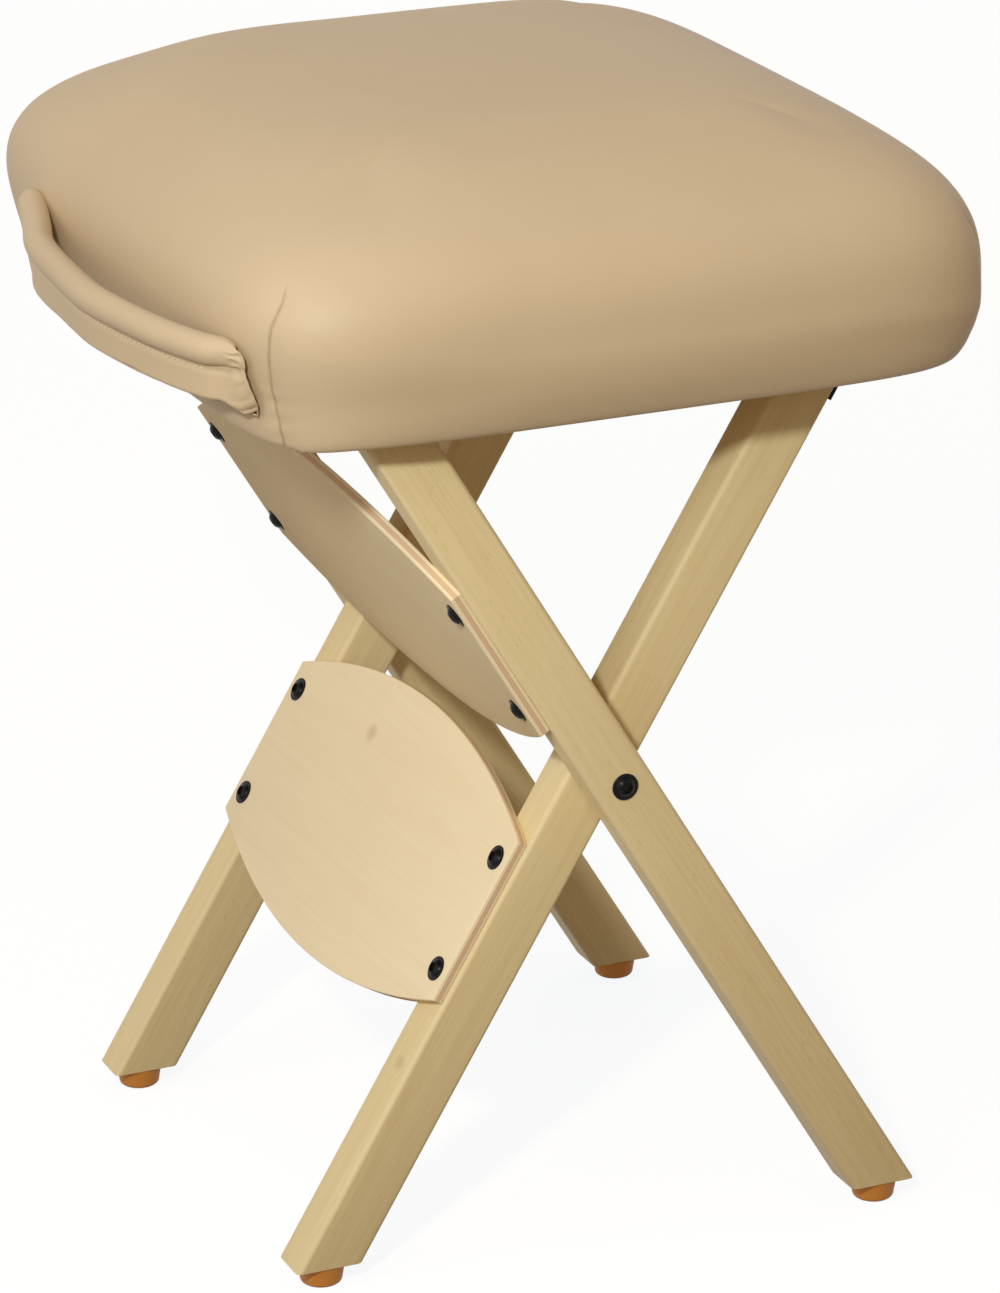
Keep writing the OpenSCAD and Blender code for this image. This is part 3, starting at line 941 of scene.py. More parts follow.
@dataclass(frozen=True)
class LegPair:
    """Two parallel wooden legs, cut level with the floor and with the seat board."""

    pair: Pair
    rounding: float = 2.5 * MM
    end_rounding: float = 0.5 * MM
    reach: float = 0.6

    @property
    def cuts(self) -> tuple[float, float]:
        """Heights of the legs' ends, above the feet and below the board."""
        return LAYOUT.foot_h, LAYOUT.board_z - LAYOUT.rest_gap

    def bar(self, side: Side) -> Mesh:
        """Shapes one leg in the shared frame.

        Args:
            side: Which leg.

        Returns:
            The leg.
        """
        bm = box((LAYOUT.leg_w, LAYOUT.leg_t, self.reach))
        long_edges = [e for e in bm.edges if e.calc_length() > self.reach / 2]
        soften(bm, long_edges, self.rounding, 7)
        moved(bm, LAYOUT.leg_middle(self.pair, side))
        for height, upwards in zip(self.cuts, (-1, 1)):
            cut = bmesh.ops.bisect_plane(
                bm, geom=bm.verts[:] + bm.edges[:] + bm.faces[:], dist=1e-6,
                plane_co=(0, 0, height), plane_no=(0, 0, upwards), clear_outer=True,
            )
            rim = only(Edge, cut["geom_cut"])
            bmesh.ops.holes_fill(bm, edges=rim)
            soften(bm, rim, self.end_rounding, 2)
        bmesh.ops.recalc_face_normals(bm, faces=bm.faces[:])
        return bm

    def build(self, wood: LegWood, smudges: Smudges = ()) -> None:
        """Makes both legs.

        Args:
            wood: Their finish.
            smudges: Rubbed marks on them.
        """
        half = LAYOUT.leg_w / 2, LAYOUT.leg_t / 2
        for side in Side:
            name = f"{self.pair.word}_leg_{side.word}"
            seed = 3.1 * self.pair.value + 1.37 * side.value
            local = LAYOUT.leg_middle(self.pair, side)
            material = wood.material(name + " wood", local, half, seed, self.cuts, smudges)
            Dress(self.pair.body, "leg_wood", material, (name,)).put(self.bar(side), name + "_oiled")


@dataclass(frozen=True)
class CrossPanel:
    """Plywood panel with two straight sides along the legs and two bowed ends."""

    pair: Pair
    node: str
    up: int
    straight: float = 80 * MM
    start: float = 45 * MM
    bow_r: float = 338 * MM
    inset: float = 1.6 * MM
    rounding: float = 0.5 * MM
    screw_edge: float = 12 * MM

    @property
    def half_width(self) -> float:
        """Half of the panel's width across the legs."""
        return LAYOUT.leg_y(self.pair) + LAYOUT.leg_t / 2 - self.inset

    @property
    def middle(self) -> float:
        """Distance of the panel's middle from the pivot, up the legs."""
        return self.up * (self.start + self.straight / 2)

    def screw_rows(self) -> tuple[float, float]:
        """Where the two rows of screws lie along the legs."""
        first, last = self.screw_edge, self.straight - self.screw_edge
        return self.up * (self.start + first), self.up * (self.start + last)

    def sheet(self) -> Mesh:
        """Shapes the panel in the shared frame.

        Returns:
            The panel.
        """
        bm = bmesh.new()
        swing = math.asin(self.half_width / self.bow_r)
        drop = self.bow_r * math.cos(swing)
        x = LAYOUT.panel_face
        for end in (-1, 1):
            corner = self.middle + end * self.straight / 2
            first = bmesh.ops.create_vert(bm, co=(x, -self.half_width, corner))["vert"]
            bmesh.ops.spin(
                bm, geom=first, cent=(x, 0, corner - end * drop), axis=(1, 0, 0), dvec=(0, 0, 0),
                angle=-end * 2 * swing, steps=64, use_merge=False, use_duplicate=False,
            )
        for side in (-1, 1):
            ends = sorted(bm.verts, key=lambda v: abs(v.co.y - side * self.half_width))[:2]
            bm.edges.new(ends)
        face = bmesh.ops.contextual_create(bm, geom=bm.edges[:])["faces"]
        back = only(Vert, bmesh.ops.extrude_face_region(bm, geom=face)["geom"])
        bmesh.ops.translate(bm, vec=(LAYOUT.ply_t, 0, 0), verts=back)
        bmesh.ops.recalc_face_normals(bm, faces=bm.faces[:])
        rims = [e for e in bm.edges if abs(e.verts[0].co.x - e.verts[1].co.x) < 1e-6]
        soften(bm, rims, self.rounding, 3)
        return moved(bm, LAYOUT.leg_frame(self.pair))

    def build(self, ply: SheetPly, seed: float, smudges: Smudges = ()) -> None:
        """Makes the panel.

        Args:
            ply: Its finish.
            seed: Shift of its pattern.
            smudges: Rubbed marks on it.
        """
        material = ply.material(
            self.node + " ply", LAYOUT.leg_frame(self.pair), axis=0, low=LAYOUT.panel_face,
            thick=LAYOUT.ply_t, plies=3, seed=seed, smudges=smudges,
        )
        Dress(self.pair.body, "plywood", material, (self.node,)).put(self.sheet(), self.node + "_sheet")


# Fasteners


@dataclass(frozen=True)
class Screw:
    """Screw that stands on z = 0 with its head above and its shank below."""

    drive: Drive
    head_d: float
    head_h: float
    shank_d: float
    shank_len: float
    flange_t: float = 0.0
    flange_w: float = 0.0
    socket: float = 4 * MM
    depth: float = 1.9 * MM
    socket_rim: float = 0.55 * MM
    chip: float = 0.12 * MM
    chamfer: float = 0.15 * MM
    lip: tuple[float, float] = (0.14 * MM, 0.02 * MM)
    flange_round: tuple[float, float] = (0.25 * MM, 0.2 * MM)
    tip: float = 0.5 * MM
    cross_floor: float = 0.5
    hex_floor: tuple[float, float] = (0.94, 0.1 * MM)
    dome_steps: int = 6
    round_steps: int = 48

    def outline(self, turn: float) -> float:
        """Distance of the recess's wall from its middle, in a direction.

        Args:
            turn: The direction, in radians.

        Returns:
            The distance.
        """
        if self.drive is Drive.HEX:
            sector = (turn + math.pi / 6) % (math.pi / 3) - math.pi / 6
            return self.socket / 2 / math.cos(sector)
        arm, half = self.socket / 2, self.socket / 7
        along, across = abs(math.cos(turn)), abs(math.sin(turn))
        turns = (along, across), (across, along)
        return max(min(arm / max(a, 1e-6), half / max(b, 1e-6)) for a, b in turns)

    def rings(self) -> list[Step]:
        """Rings from the recess's floor outwards and down: share of the outline, radius added, height.

        Returns:
            The rings.
        """
        top, edge, shank_r = self.head_h, self.head_d / 2, self.shank_d / 2
        low, dome_r, chip = top - self.depth, edge - self.flange_w, self.chip
        if self.drive is Drive.CROSS:
            sunk = (self.head_d - self.shank_d) / 2
            return [
                (self.cross_floor, 0.0, low), (1.0, 0.0, top), (1.0, chip, top),
                (0.0, dome_r - self.chamfer, top), (0.0, dome_r, top - self.chamfer),
                (0.0, shank_r, top - sunk), (0.0, shank_r, -self.shank_len),
            ]
        dome_h = top - self.flange_t
        ball = (dome_r ** 2 + dome_h ** 2) / (2 * dome_h)
        level = self.socket / 2 + self.socket_rim
        reaches = [level + (dome_r - level) * i / self.dome_steps for i in range(self.dome_steps + 1)]
        dome = [(0.0, reach, top - ball + math.sqrt(ball ** 2 - reach ** 2)) for reach in reaches]
        rim, (out, up), (back, down), (floor, rise) = dome[0][2], self.lip, self.flange_round, self.hex_floor
        return [
            (floor, 0.0, low), (1.0, 0.0, low + rise), (1.0, 0.0, rim - chip), (1.0, out, rim + up), *dome,
            (0.0, dome_r + self.chamfer, self.flange_t + up), (0.0, edge - back, self.flange_t),
            (0.0, edge, self.flange_t - down), (0.0, edge, chip), (0.0, edge - chip, 0.0),
            (0.0, shank_r, 0.0), (0.0, shank_r, -self.shank_len + self.tip),
            (0.0, shank_r - self.tip, -self.shank_len),
        ]

    def shape(self, place: Matrix, turn: float) -> Mesh:
        """Shapes the screw.

        Args:
            place: Where its head's underside stands, with +Z out of the head.
            turn: How far its recess is turned about the shank, in radians.

        Returns:
            The screw in the shared frame.
        """
        rings = self.rings()
        bm = moved(wrap(self.round_steps, len(rings) - 1, partial(self._point, rings, turn)), place)
        bmesh.ops.recalc_face_normals(bm, faces=bm.faces[:])
        return bm

    def _point(self, rings: Sequence[Step], turn: float, around: float, along: float) -> Vector:
        """A point of the screw's skin, before the screw is put in its place.

        Args:
            rings: The screw's rings.
            turn: Turn of its recess.
            around: Share of the way round.
            along: Share of the way through the rings.

        Returns:
            The point.
        """
        angle = 2 * math.pi * around
        share, radius, height = rings[round(along * (len(rings) - 1))]
        reach = share * self.outline(angle) + radius
        return Vector((reach * math.cos(angle + turn), reach * math.sin(angle + turn), height))


@dataclass(frozen=True)
class ScrewSet:
    """Screws of one kind that stand for one node."""

    node: str
    body: str
    slot: str
    metal: Material
    screw: Screw
    places: Sequence[Matrix]

    def build(self, rng: random.Random) -> None:
        """Makes the screws as one piece.

        Args:
            rng: Source of the turns of the recesses.
        """
        drive = self.screw.drive
        shapes = [self.screw.shape(place, rng.uniform(0, drive.turn)) for place in self.places]
        name = f"{self.node}_{drive.word}"
        Dress(self.body, self.slot, self.metal, (self.node,)).put(joined(shapes), name)


@dataclass(frozen=True)
class Hardware:
    """Black cap screws and bolts, hinge and cleat screws, and the metal that keeps its shape."""

    panel_screw: Screw = Screw(
        Drive.HEX, head_d=11.4 * MM, head_h=3 * MM, shank_d=4 * MM, shank_len=17.4 * MM,
        flange_t=0.7 * MM, flange_w=1.3 * MM,
    )
    pivot_bolt: Screw = Screw(
        Drive.HEX, head_d=12.2 * MM, head_h=3.4 * MM, shank_d=6.3 * MM, shank_len=46.15 * MM,
        flange_t=0.7 * MM, flange_w=1.3 * MM, socket=4.4 * MM, depth=2.1 * MM,
    )
    wood_screw: Screw = Screw(
        Drive.CROSS, head_d=5.9 * MM, head_h=0.0, shank_d=2.9 * MM, shank_len=13 * MM,
        socket=3.4 * MM, depth=1.1 * MM,
    )
    leaf_holes: tuple[float, float] = (8.0 * MM, 21.4 * MM)
    leg_bite: float = 14 * MM
    board_bite: float = 7.5 * MM
    cleat_screw_share: float = 5 / 12

    def panel_places(self, panel: CrossPanel) -> list[Matrix]:
        """Where the four screws of a panel stand.

        Args:
            panel: The panel.

        Returns:
            A place for each screw.
        """
        legs, turn = LAYOUT.leg_frame(panel.pair), Matrix.Rotation(-math.pi / 2, 4, "Y")
        y = LAYOUT.leg_y(panel.pair)
        spots = [(LAYOUT.panel_face, side.value * y, row) for side in Side for row in panel.screw_rows()]
        return [legs @ Matrix.Translation(spot) @ turn for spot in spots]

    def pivot_place(self, side: Side) -> Matrix:
        """Where a bolt stands that the legs turn on.

        Args:
            side: Which bolt.

        Returns:
            Its place.
        """
        spot = Matrix.Translation((0, side.value * (LAYOUT.frame_w / 2 + LAYOUT.rest_gap), 0))
        return LAYOUT.leg_frame(Pair.INNER) @ spot @ Matrix.Rotation(-side.value * math.pi / 2, 4, "X")

    def leaf_places(self, turn: Matrix) -> list[Matrix]:
        """Where the four screws stand that hold the hinge leaves to the board or to the legs.

        Args:
            turn: Turn about the pins from the board to what the leaves lie on.

        Returns:
            A place for each screw.
        """
        front, over = LAYOUT.hinge_off - LAYOUT.leaf_t, Matrix.Rotation(math.pi, 4, "X")
        places = []
        for side in Side:
            pin = LAYOUT.hinge_pin + Vector((0, side.value * LAYOUT.leg_y(Pair.INNER), 0))
            leaf = Matrix.Translation(pin) @ turn
            places += [leaf @ Matrix.Translation((hole, 0, front)) @ over for hole in self.leaf_holes]
        return places

    def cleat_places(self) -> list[Matrix]:
        """Where the three screws stand that hold the stop cleat to the board.

        Returns:
            A place for each screw.
        """
        step, z = self.cleat_screw_share * LAYOUT.cleat_len, LAYOUT.board_z - LAYOUT.cleat_h
        spots = [(LAYOUT.cleat_x, share * step, z) for share in (-1, 0, 1)]
        return [Matrix.Translation(spot) @ Matrix.Rotation(math.pi, 4, "X") for spot in spots]

    def build(self, panels: Iterable[CrossPanel]) -> None:
        """Makes every fastener and dresses the metal pieces that keep their shape.

        Args:
            panels: The panels that get screws.
        """
        cap, black = BLACK_SCREW.material("black cap"), BLACK_HINGE.material("black hinge")
        steel = STEEL.material("steel")
        down_leg = Matrix.Rotation(math.pi / 2 + LAYOUT.lean, 4, "Y") @ Matrix.Scale(-1, 4, (0, 0, 1))
        leg_screw, seat_screw, cleat_screw = (
            replace(self.wood_screw, shank_len=bite)
            for bite in (self.leg_bite, self.board_bite + LAYOUT.leaf_t, LAYOUT.cleat_h + self.board_bite)
        )
        sets = [
            ScrewSet(
                panel.node + "_screws", panel.pair.body, "black_cap", cap, self.panel_screw,
                self.panel_places(panel),
            )
            for panel in panels
        ]
        for side in Side:
            node, places = f"pivot_bolt_{side.word}", [self.pivot_place(side)]
            sets.append(ScrewSet(node, "inner_frame", "black_cap", cap, self.pivot_bolt, places))
        on_leg, on_seat = self.leaf_places(down_leg), self.leaf_places(Matrix.Identity(4))
        sets += [
            ScrewSet("hinge_leg_screws", "inner_frame", "black_hinge", black, leg_screw, on_leg),
            ScrewSet("hinge_seat_screws", "seat", "black_hinge", black, seat_screw, on_seat),
            ScrewSet("stop_cleat_screws", "seat", "steel", steel, cleat_screw, self.cleat_places()),
        ]
        rng = random.Random(7)
        for screws in sets:
            screws.build(rng)
        paint(black, *(f"hinge_{end}_leaf_{side.word}" for end in ("leg", "seat") for side in Side))
        paint(steel, "pivot_washers", "pivot_nuts", "hinge_pins", "inner_foot_screws", "outer_foot_screws")
        paint(BRASS.material("brass"), "lower_panel_inserts", "upper_panel_inserts")


# Seat


def near_path(point: Vector, normal: Vector, path: Sequence[Vector]) -> tuple[float, float]:
    """Where a point of a surface lies beside a line drawn near that surface.

    Args:
        point: The point.
        normal: The surface's normal there.
        path: The line's corners.

    Returns:
        The distance between them along the surface, and the place along the line.
    """
    best, place, run = math.inf, 0.0, 0.0
    for start, end in zip(path, path[1:]):
        step = end - start
        share = min(max((point - start).dot(step) / step.length_squared, 0.0), 1.0)
        away = point - start - share * step
        gap = (away - away.dot(normal) * normal).length
        if gap < best:
            best, place = gap, run + share * step.length
        run += step.length
    return best, place


def stations(runs: Sequence[float], places: Iterable[float]) -> Iterator[tuple[int, float]]:
    """Finds places along a line.

    Args:
        runs: Length of the line up to each of its points.
        places: Rising lengths along it.

    Yields:
        For each place, the number of the point before it and its share of the step to the next point.
    """
    low = 0
    for place in places:
        while low < len(runs) - 2 and runs[low + 1] < place:
            low += 1
        yield low, (place - runs[low]) / max(runs[low + 1] - runs[low], 1e-9)


def blend(first: Step, second: Step, share: float) -> Step:
    """The step between two steps, from first at 0 to second at 1.

    Args:
        first: The step at 0.
        second: The step at 1.
        share: Share of the second.

    Returns:
        The step.
    """
    return tuple(a + (b - a) * share for a, b in zip(first, second))


@dataclass(frozen=True)
class Dart:
    """Sewn dart at a corner of the cushion, from its top end down to the bottom edge."""

    path: tuple[Sequence[float], ...] = (
        (-143, -157, 479.5), (-146, -160, 476), (-149.5, -163, 471), (-153, -163.5, 465), (-155.5, -163, 459),
        (-156.5, -162.5, 450), (-156, -161, 441), (-154, -158.5, 430.5), (-151, -157.5, 420),
        (-146.5, -156, 409.5), (-145, -155, 402),
    )
    depth: float = 0.55 * MM
    width: float = 0.9 * MM
    valley: float = 0.9 * MM
    valley_w: float = 7 * MM
    pucker: float = 0.22 * MM
    pucker_len: float = 8.5 * MM
    pucker_z: tuple[float, float] = (404 * MM, 440 * MM)
    pucker_reach: float = 6 * MM
    pucker_slant: float = 40.0
    fade_len: float = 14 * MM
    bottom_fade: float = 6 * MM
    # Width and strength of the painted shade along the seam line.
    seam_w: float = 0.65 * MM
    seam_shade_share: float = 0.7
    near: float = 75 * MM
    reach: float = 30 * MM

    def line(self, mirror_x: bool, mirror_y: bool) -> list[Vector]:
        """The dart's path in metres, mirrored to another corner.

        Args:
            mirror_x: True at the hinged end.
            mirror_y: True on the far side.

        Returns:
            The points.
        """
        points = [Vector(p) * MM for p in self.path]
        for point in points:
            if mirror_x:
                point.x = 2 * LAYOUT.centre_x - point.x
            if mirror_y:
                point.y = -point.y
        return points

    def corners(self) -> list[tuple[Vector, list[Vector]]]:
        """The four darts, each with its middle."""
        lines = [self.line(mx, my) for mx in (False, True) for my in (False, True)]
        return [(sum(line, Vector()) / len(line), line) for line in lines]

    def draw_in(self, gap: float, run: float, z: float) -> tuple[float, float]:
        """How deep the dart draws the surface in, and how strong the painted shade along its seam is, beside
        the dart.

        Args:
            gap: Distance from the dart.
            run: Length along it.
            z: Height above the floor.

        Returns:
            The depth and the strength.
        """
        fade = ease(run, 0, self.fade_len)
        bottom, top = self.pucker_z
        low = ease(z, top, top - self.fade_len) * ease(z, bottom, bottom + self.bottom_fade)
        wave = math.sin(run / self.pucker_len * 2 * math.pi + self.pucker_slant * gap)
        wave *= math.exp(-gap / self.pucker_reach)
        deep = fade * (self.depth * hill(gap, self.width) + self.valley * hill(gap, self.valley_w))
        # The second value is painted shade along the seam line, kept in the mesh's seam attribute.
        return deep + self.pucker * low * wave, self.seam_shade_share * fade * hill(gap, self.seam_w)


PADDED_VINYL = {
    "quality": 6, "mass": 0.3, "tension_stiffness": 15, "compression_stiffness": 15, "shear_stiffness": 5,
    "bending_stiffness": 0.5, "use_pressure": True, "uniform_pressure_force": 4,
}


@dataclass(frozen=True)
class Cushion:
    """Padded seat: foam under a vinyl cover that is turned under the board and stapled."""

    half_x: float = 180.5 * MM
    half_y: float = 191.3 * MM
    crown_z: float = 518.9 * MM
    wrap_z: float = 404.8 * MM
    belly_h: float = 46 * MM
    belly_drop: float = 22 * MM
    draw: float = 12.4 * MM
    draw_power: float = 1.4
    crown_power: float = 2.35
    crown_gain: float = 0.72
    crown_plan: float = 2.11
    belly_plan: float = 6.51
    edge_plan: float = 6.98
    tilt: tuple[float, float] = (-0.005, 0.0141)
    wrap_w: float = 10 * MM
    flap_gain: float = 1.5
    widening: int = 6
    cover_t: float = 1.2 * MM
    start_in: float = 2.4 * MM
    start_edge: float = 25 * MM
    start_top: float = 450 * MM
    swell: float = 2.6 * MM
    sink: float = 0.3 * MM
    slide: float = 1 * MM
    hold_h: float = 14 * MM
    cloth_frames: int = 20
    evening: int = 8
    unevenness: float = 0.5 * MM
    even_run: tuple[float, float] = (1 * MM, 12 * MM)
    dimple: float = 17.0
    corner_sag: float = 3.0 * MM
    sag_steps: tuple[float, float] = (0.78, 1.5)
    across: int = 47
    down: int = 23
    flap_rows: int = 3
    top_share: float = 0.62
    spread: float = 0.82 * math.pi / 2
    bow_steps: int = 240
    edge_steps: int = 60
    edge_round: int = 6
    fine: int = 150
    form_steps: int = 8
    flat_end: float = 0.9999
    dart: Dart = Dart()

    def _lower(self, share: float) -> tuple[float, float]:
        """Inset and plan power between the widest line, at 0, and the bottom edge, at 1."""
        plan = self.belly_plan + (self.edge_plan - self.belly_plan) * share
        return self.draw * share ** self.draw_power, plan

    def _form(self, end: float) -> list[Step]:
        """Inset, height and plan power at even steps from the crown over the bottom edge to the flap.

        Args:
            end: 0 at the handle end of the cushion and 1 at its hinged end.

        Returns:
            The steps: self.fine of them down to the bottom edge, and as many again across the flap.
        """
        belly = LAYOUT.board_z + self.belly_h - self.belly_drop * end
        power = 2 / (self.crown_power + self.crown_gain * end)
        raw: list[Step] = []
        for i in range(self.bow_steps + 1):
            angle = math.radians(90 - i * 90 / self.bow_steps)
            out, up = max(math.cos(angle), 0) ** power, max(math.sin(angle), 0) ** power
            plan = self.crown_plan + (self.belly_plan - self.crown_plan) * out
            raw.append((self.half_x * (1 - out), belly + (self.crown_z - belly) * up, plan))
        shares = [i / self.edge_steps for i in range(1, self.edge_steps + 1)]
        for share in shares:
            inset, plan = self._lower(share)
            raw.append((inset, belly + (self.wrap_z - belly) * share, plan))
        flap = self.flap_gain * self.wrap_w
        raw += [(self.draw + flap * share, self.wrap_z, self.edge_plan) for share in shares]
        blunt = [self._blunt(raw, i) for i in range(len(raw))]
        steps = (math.hypot(b[0] - a[0], b[1] - a[1]) for a, b in zip(blunt, blunt[1:]))
        runs = list(accumulate(steps, initial=0.0))
        rim = runs[self.bow_steps + self.edge_steps]
        places = [rim * i / self.fine for i in range(self.fine + 1)]
        places += [rim + self.wrap_w * i / self.fine for i in range(1, self.fine + 1)]
        return [blend(blunt[low], blunt[low + 1], min(part, 1)) for low, part in stations(runs, places)]

    def _blunt(self, raw: Sequence[Step], i: int) -> Step:
        """A step averaged with its neighbours near the bottom edge, to round that edge.

        Args:
            raw: All steps.
            i: Number of the step.

        Returns:
            The averaged step.
        """
        reach = max(0, self.edge_round - abs(i - self.bow_steps - self.edge_steps) // 2)
        part = raw[max(i - reach, 0):i + reach + 1]
        return tuple(sum(p[k] for p in part) / len(part) for k in range(3))

    def _step(self, cube: Vector) -> float:
        """How far down a point of the cube from -1 to 1 lies: 1 at the bottom edge, 2 at the flap's edge.

        Args:
            cube: The point.

        Returns:
            The share.
        """
        rim = max(abs(cube.x), abs(cube.y))
        if cube.z > self.flat_end:
            return rim * self.top_share
        if cube.z < -self.flat_end:
            return 1 + (1 - rim) * (self.across + 1) / 2 / self.flap_rows
        return self.top_share + (1 - cube.z) / 2 * (1 - self.top_share)

    def _place(self, cube: Vector, forms: Sequence[Sequence[Step]]) -> Vector:
        """Where a point of the cube from -1 to 1 lies on the starting form.

        Args:
            cube: The point.
            forms: The steps at even shares of the cushion's length.

        Returns:
            The place.
        """
        rim = max(abs(cube.x), abs(cube.y))
        step = self._step(cube)
        inner = max(step - 2, 0) / ((self.across + 1) / 2 / self.flap_rows - 1)
        spot = min(step, 2.0) * self.fine
        low = min(int(spot), 2 * self.fine - 1)
        share = spot - low
        if rim < 1e-6:
            return Vector((LAYOUT.centre_x, 0, forms[0][low][1] - (self.start_in if cube.z > 0 else 0)))
        x, y = (math.sin(v / rim * self.spread) / math.sin(self.spread) for v in (cube.x, cube.y))
        end, turn, values = 0.5, 0.0, (0.0, 0.0, 0.0)
        for _ in range(2):
            place = end * (len(forms) - 1)
            first = min(int(place), len(forms) - 2)
            mixes = [blend(form[low], form[low + 1], share) for form in forms[first:first + 2]]
            values = blend(*mixes, place - first)
            size = (abs(x) ** values[2] + abs(y) ** values[2]) ** (1 / values[2])
            turn = math.copysign(abs(x / size) ** (values[2] / 2), x)
            end = ease(turn, -1, 1)
        inset, z, _ = values
        inset += self.start_in * ease(z, self.wrap_z, self.wrap_z + self.start_edge)
        inset += inner * (self.half_x - values[0])
        z -= self.start_in * ease(z, self.start_top, self.crown_z)
        narrower = (self.half_y - self.half_x) * min(inset / self.half_x, 1) ** self.widening
        wide = self.half_y - inset - narrower
        left, across = x / size * (self.half_x - inset), y / size * wide
        corner = (4 * turn ** 2 * (1 - turn ** 2)) ** 2 * (1 - end)
        begin, stop = self.sag_steps
        z -= self.corner_sag * corner * ease(step, begin, 1.0) * ease(step, stop, 1.0)
        lift = min(max((z - self.wrap_z) / (self.crown_z - self.wrap_z), 0), 1)
        z += lift * (self.tilt[0] * left + self.tilt[1] * across)
        return Vector((LAYOUT.centre_x + left, across, z))

    def _start(self) -> Mesh:
        """The closed starting form in quads, with the faces inside the flap marked.

        Returns:
            The form.
        """
        bm = bmesh.new()
        bmesh.ops.create_cube(bm, size=2)
        upright = [e for e in bm.edges if abs(e.verts[0].co.z - e.verts[1].co.z) > 1]
        bmesh.ops.subdivide_edges(bm, edges=upright, cuts=self.down, use_grid_fill=True)
        level = [e for e in bm.edges if abs(e.verts[0].co.z - e.verts[1].co.z) < 1e-4]
        bmesh.ops.subdivide_edges(bm, edges=level, cuts=self.across, use_grid_fill=True)
        inner = bm.faces.layers.int.new("inner")
        limit = 1 - 2 * self.flap_rows / (self.across + 1)
        for face in bm.faces:
            middle = face.calc_center_median()
            face[inner] = int(middle.z < -self.flat_end and max(abs(middle.x), abs(middle.y)) < limit)
        forms = [self._form(i / self.form_steps) for i in range(self.form_steps + 1)]
        for vert in bm.verts:
            vert.co = self._place(vert.co, forms)
        bmesh.ops.recalc_face_normals(bm, faces=bm.faces[:])
        return bm

    def _inflate(self, bm: Mesh) -> None:
        """Swells the form as cloth under pressure, held along its underside.

        Args:
            bm: The starting form, which is changed.
        """
        balloon = shown(bm, "swelling", keep=True)
        held = balloon.vertex_groups.new(name="held")
        for vert in bm.verts:
            hold = ease(vert.co.z, self.wrap_z + self.hold_h, self.wrap_z + 1 * MM)
            if hold > 0:
                held.add([vert.index], hold, "REPLACE")
        cloth = balloon.modifiers.new("cloth", "CLOTH")
        for name, value in PADDED_VINYL.items():
            setattr(cloth.settings, name, value)
        cloth.settings.effector_weights.gravity = 0
        cloth.settings.vertex_group_mass = held.name
        cloth.collision_settings.use_collision = False
        scene = bpy.context.scene
        for step in range(1, self.cloth_frames + 1):
            scene.frame_set(step)
        solved = balloon.evaluated_get(bpy.context.evaluated_depsgraph_get()).to_mesh()
        moves = [after.co - before.co for before, after in zip(bm.verts, solved.vertices)]
        self._settle(bm, moves)
        balloon.to_mesh_clear()
        scene.frame_set(1)
        bpy.data.objects.remove(balloon)

    def _settle(self, bm: Mesh, moves: list[Vector]) -> None:
        """Moves the points as the cloth did, within the cap, and evens the moves out.

        Args:
            bm: The form, which is changed.
            moves: How far the cloth moved each point.
        """
        furthest = max(move.length for move in moves)
        for vert in bm.verts:
            move = moves[vert.index]
            out = move.dot(vert.normal)
            flat = move - out * vert.normal
            if flat.length > self.slide:
                flat.length = self.slide
            moves[vert.index] = flat + min(max(out, -self.sink), self.swell) * vert.normal
        beside = [[e.other_vert(v).index for e in v.link_edges] for v in bm.verts]
        for _ in range(self.evening):
            moves = [
                (move + sum((moves[k] for k in near), Vector())) / (1 + len(near))
                for move, near in zip(moves, beside)
            ]
        for vert in bm.verts:
            vert.co += moves[vert.index]
        log.info("cushion swelled: cloth went %.1f mm, the cap is %.1f mm", furthest / MM, self.swell / MM)

    def _open_below(self, bm: Mesh) -> None:
        """Leaves only the turned-under edge below the board, as thick as the cover.

        Args:
            bm: The form, which is changed.
        """
        inner = bm.faces.layers.int["inner"]
        bmesh.ops.delete(bm, geom=[f for f in bm.faces if f[inner]], context="FACES")
        rim = [e for e in bm.edges if e.is_boundary]
        up = only(Vert, bmesh.ops.extrude_edge_only(bm, edges=rim)["geom"])
        bmesh.ops.translate(bm, vec=(0, 0, self.cover_t), verts=up)

    @staticmethod
    def _subdivided(bm: Mesh, levels: int) -> Mesh:
        """The form after subdivision.

        Args:
            bm: The form; it is freed.
            levels: How often each face is split.

        Returns:
            The finer form.
        """
        piece = shown(bm, "subdivided")
        rounding = piece.modifiers.new("rounding", "SUBSURF")
        rounding.levels = rounding.render_levels = levels
        result = bmesh.new()
        result.from_object(piece, bpy.context.evaluated_depsgraph_get())
        bpy.data.objects.remove(piece)
        return result

    def _sew(self, bm: Mesh) -> None:
        """Draws the corner darts in, marks painted shade along their seams and leaves the skin a little
        uneven.

        Args:
            bm: The form, which is changed.
        """
        # Strength of the painted shade along the dart seams.
        mark = bm.verts.layers.float.new("seam")
        bm.normal_update()
        corners = self.dart.corners()
        for vert in bm.verts:
            above = ease(vert.co.z - self.wrap_z, *self.even_run)
            deep = self.unevenness * above * noise.noise(vert.co * self.dimple)
            middle, line = min(corners, key=lambda corner: (corner[0] - vert.co).length_squared)
            if (middle - vert.co).length < self.dart.near:
                gap, run = near_path(vert.co, vert.normal, line)
                if gap < self.dart.reach:
                    drawn, vert[mark] = self.dart.draw_in(gap, run, vert.co.z)
                    deep += drawn
            vert.co -= vert.normal * deep

    def handle_face(self, y: float, z: float) -> float:
        """Where the face at the handle end lies along X, for a place below its widest line.

        Args:
            y: The place's Y.
            z: The place's Z.

        Returns:
            The face's X.
        """
        belly = LAYOUT.board_z + self.belly_h
        share = min(max((belly - z) / (belly - self.wrap_z), 0), 1)
        inset, power = self._lower(share)
        side = min(abs(y) / (self.half_y - inset), 0.999)
        return LAYOUT.centre_x - (self.half_x - inset) * (1 - side ** power) ** (1 / power)

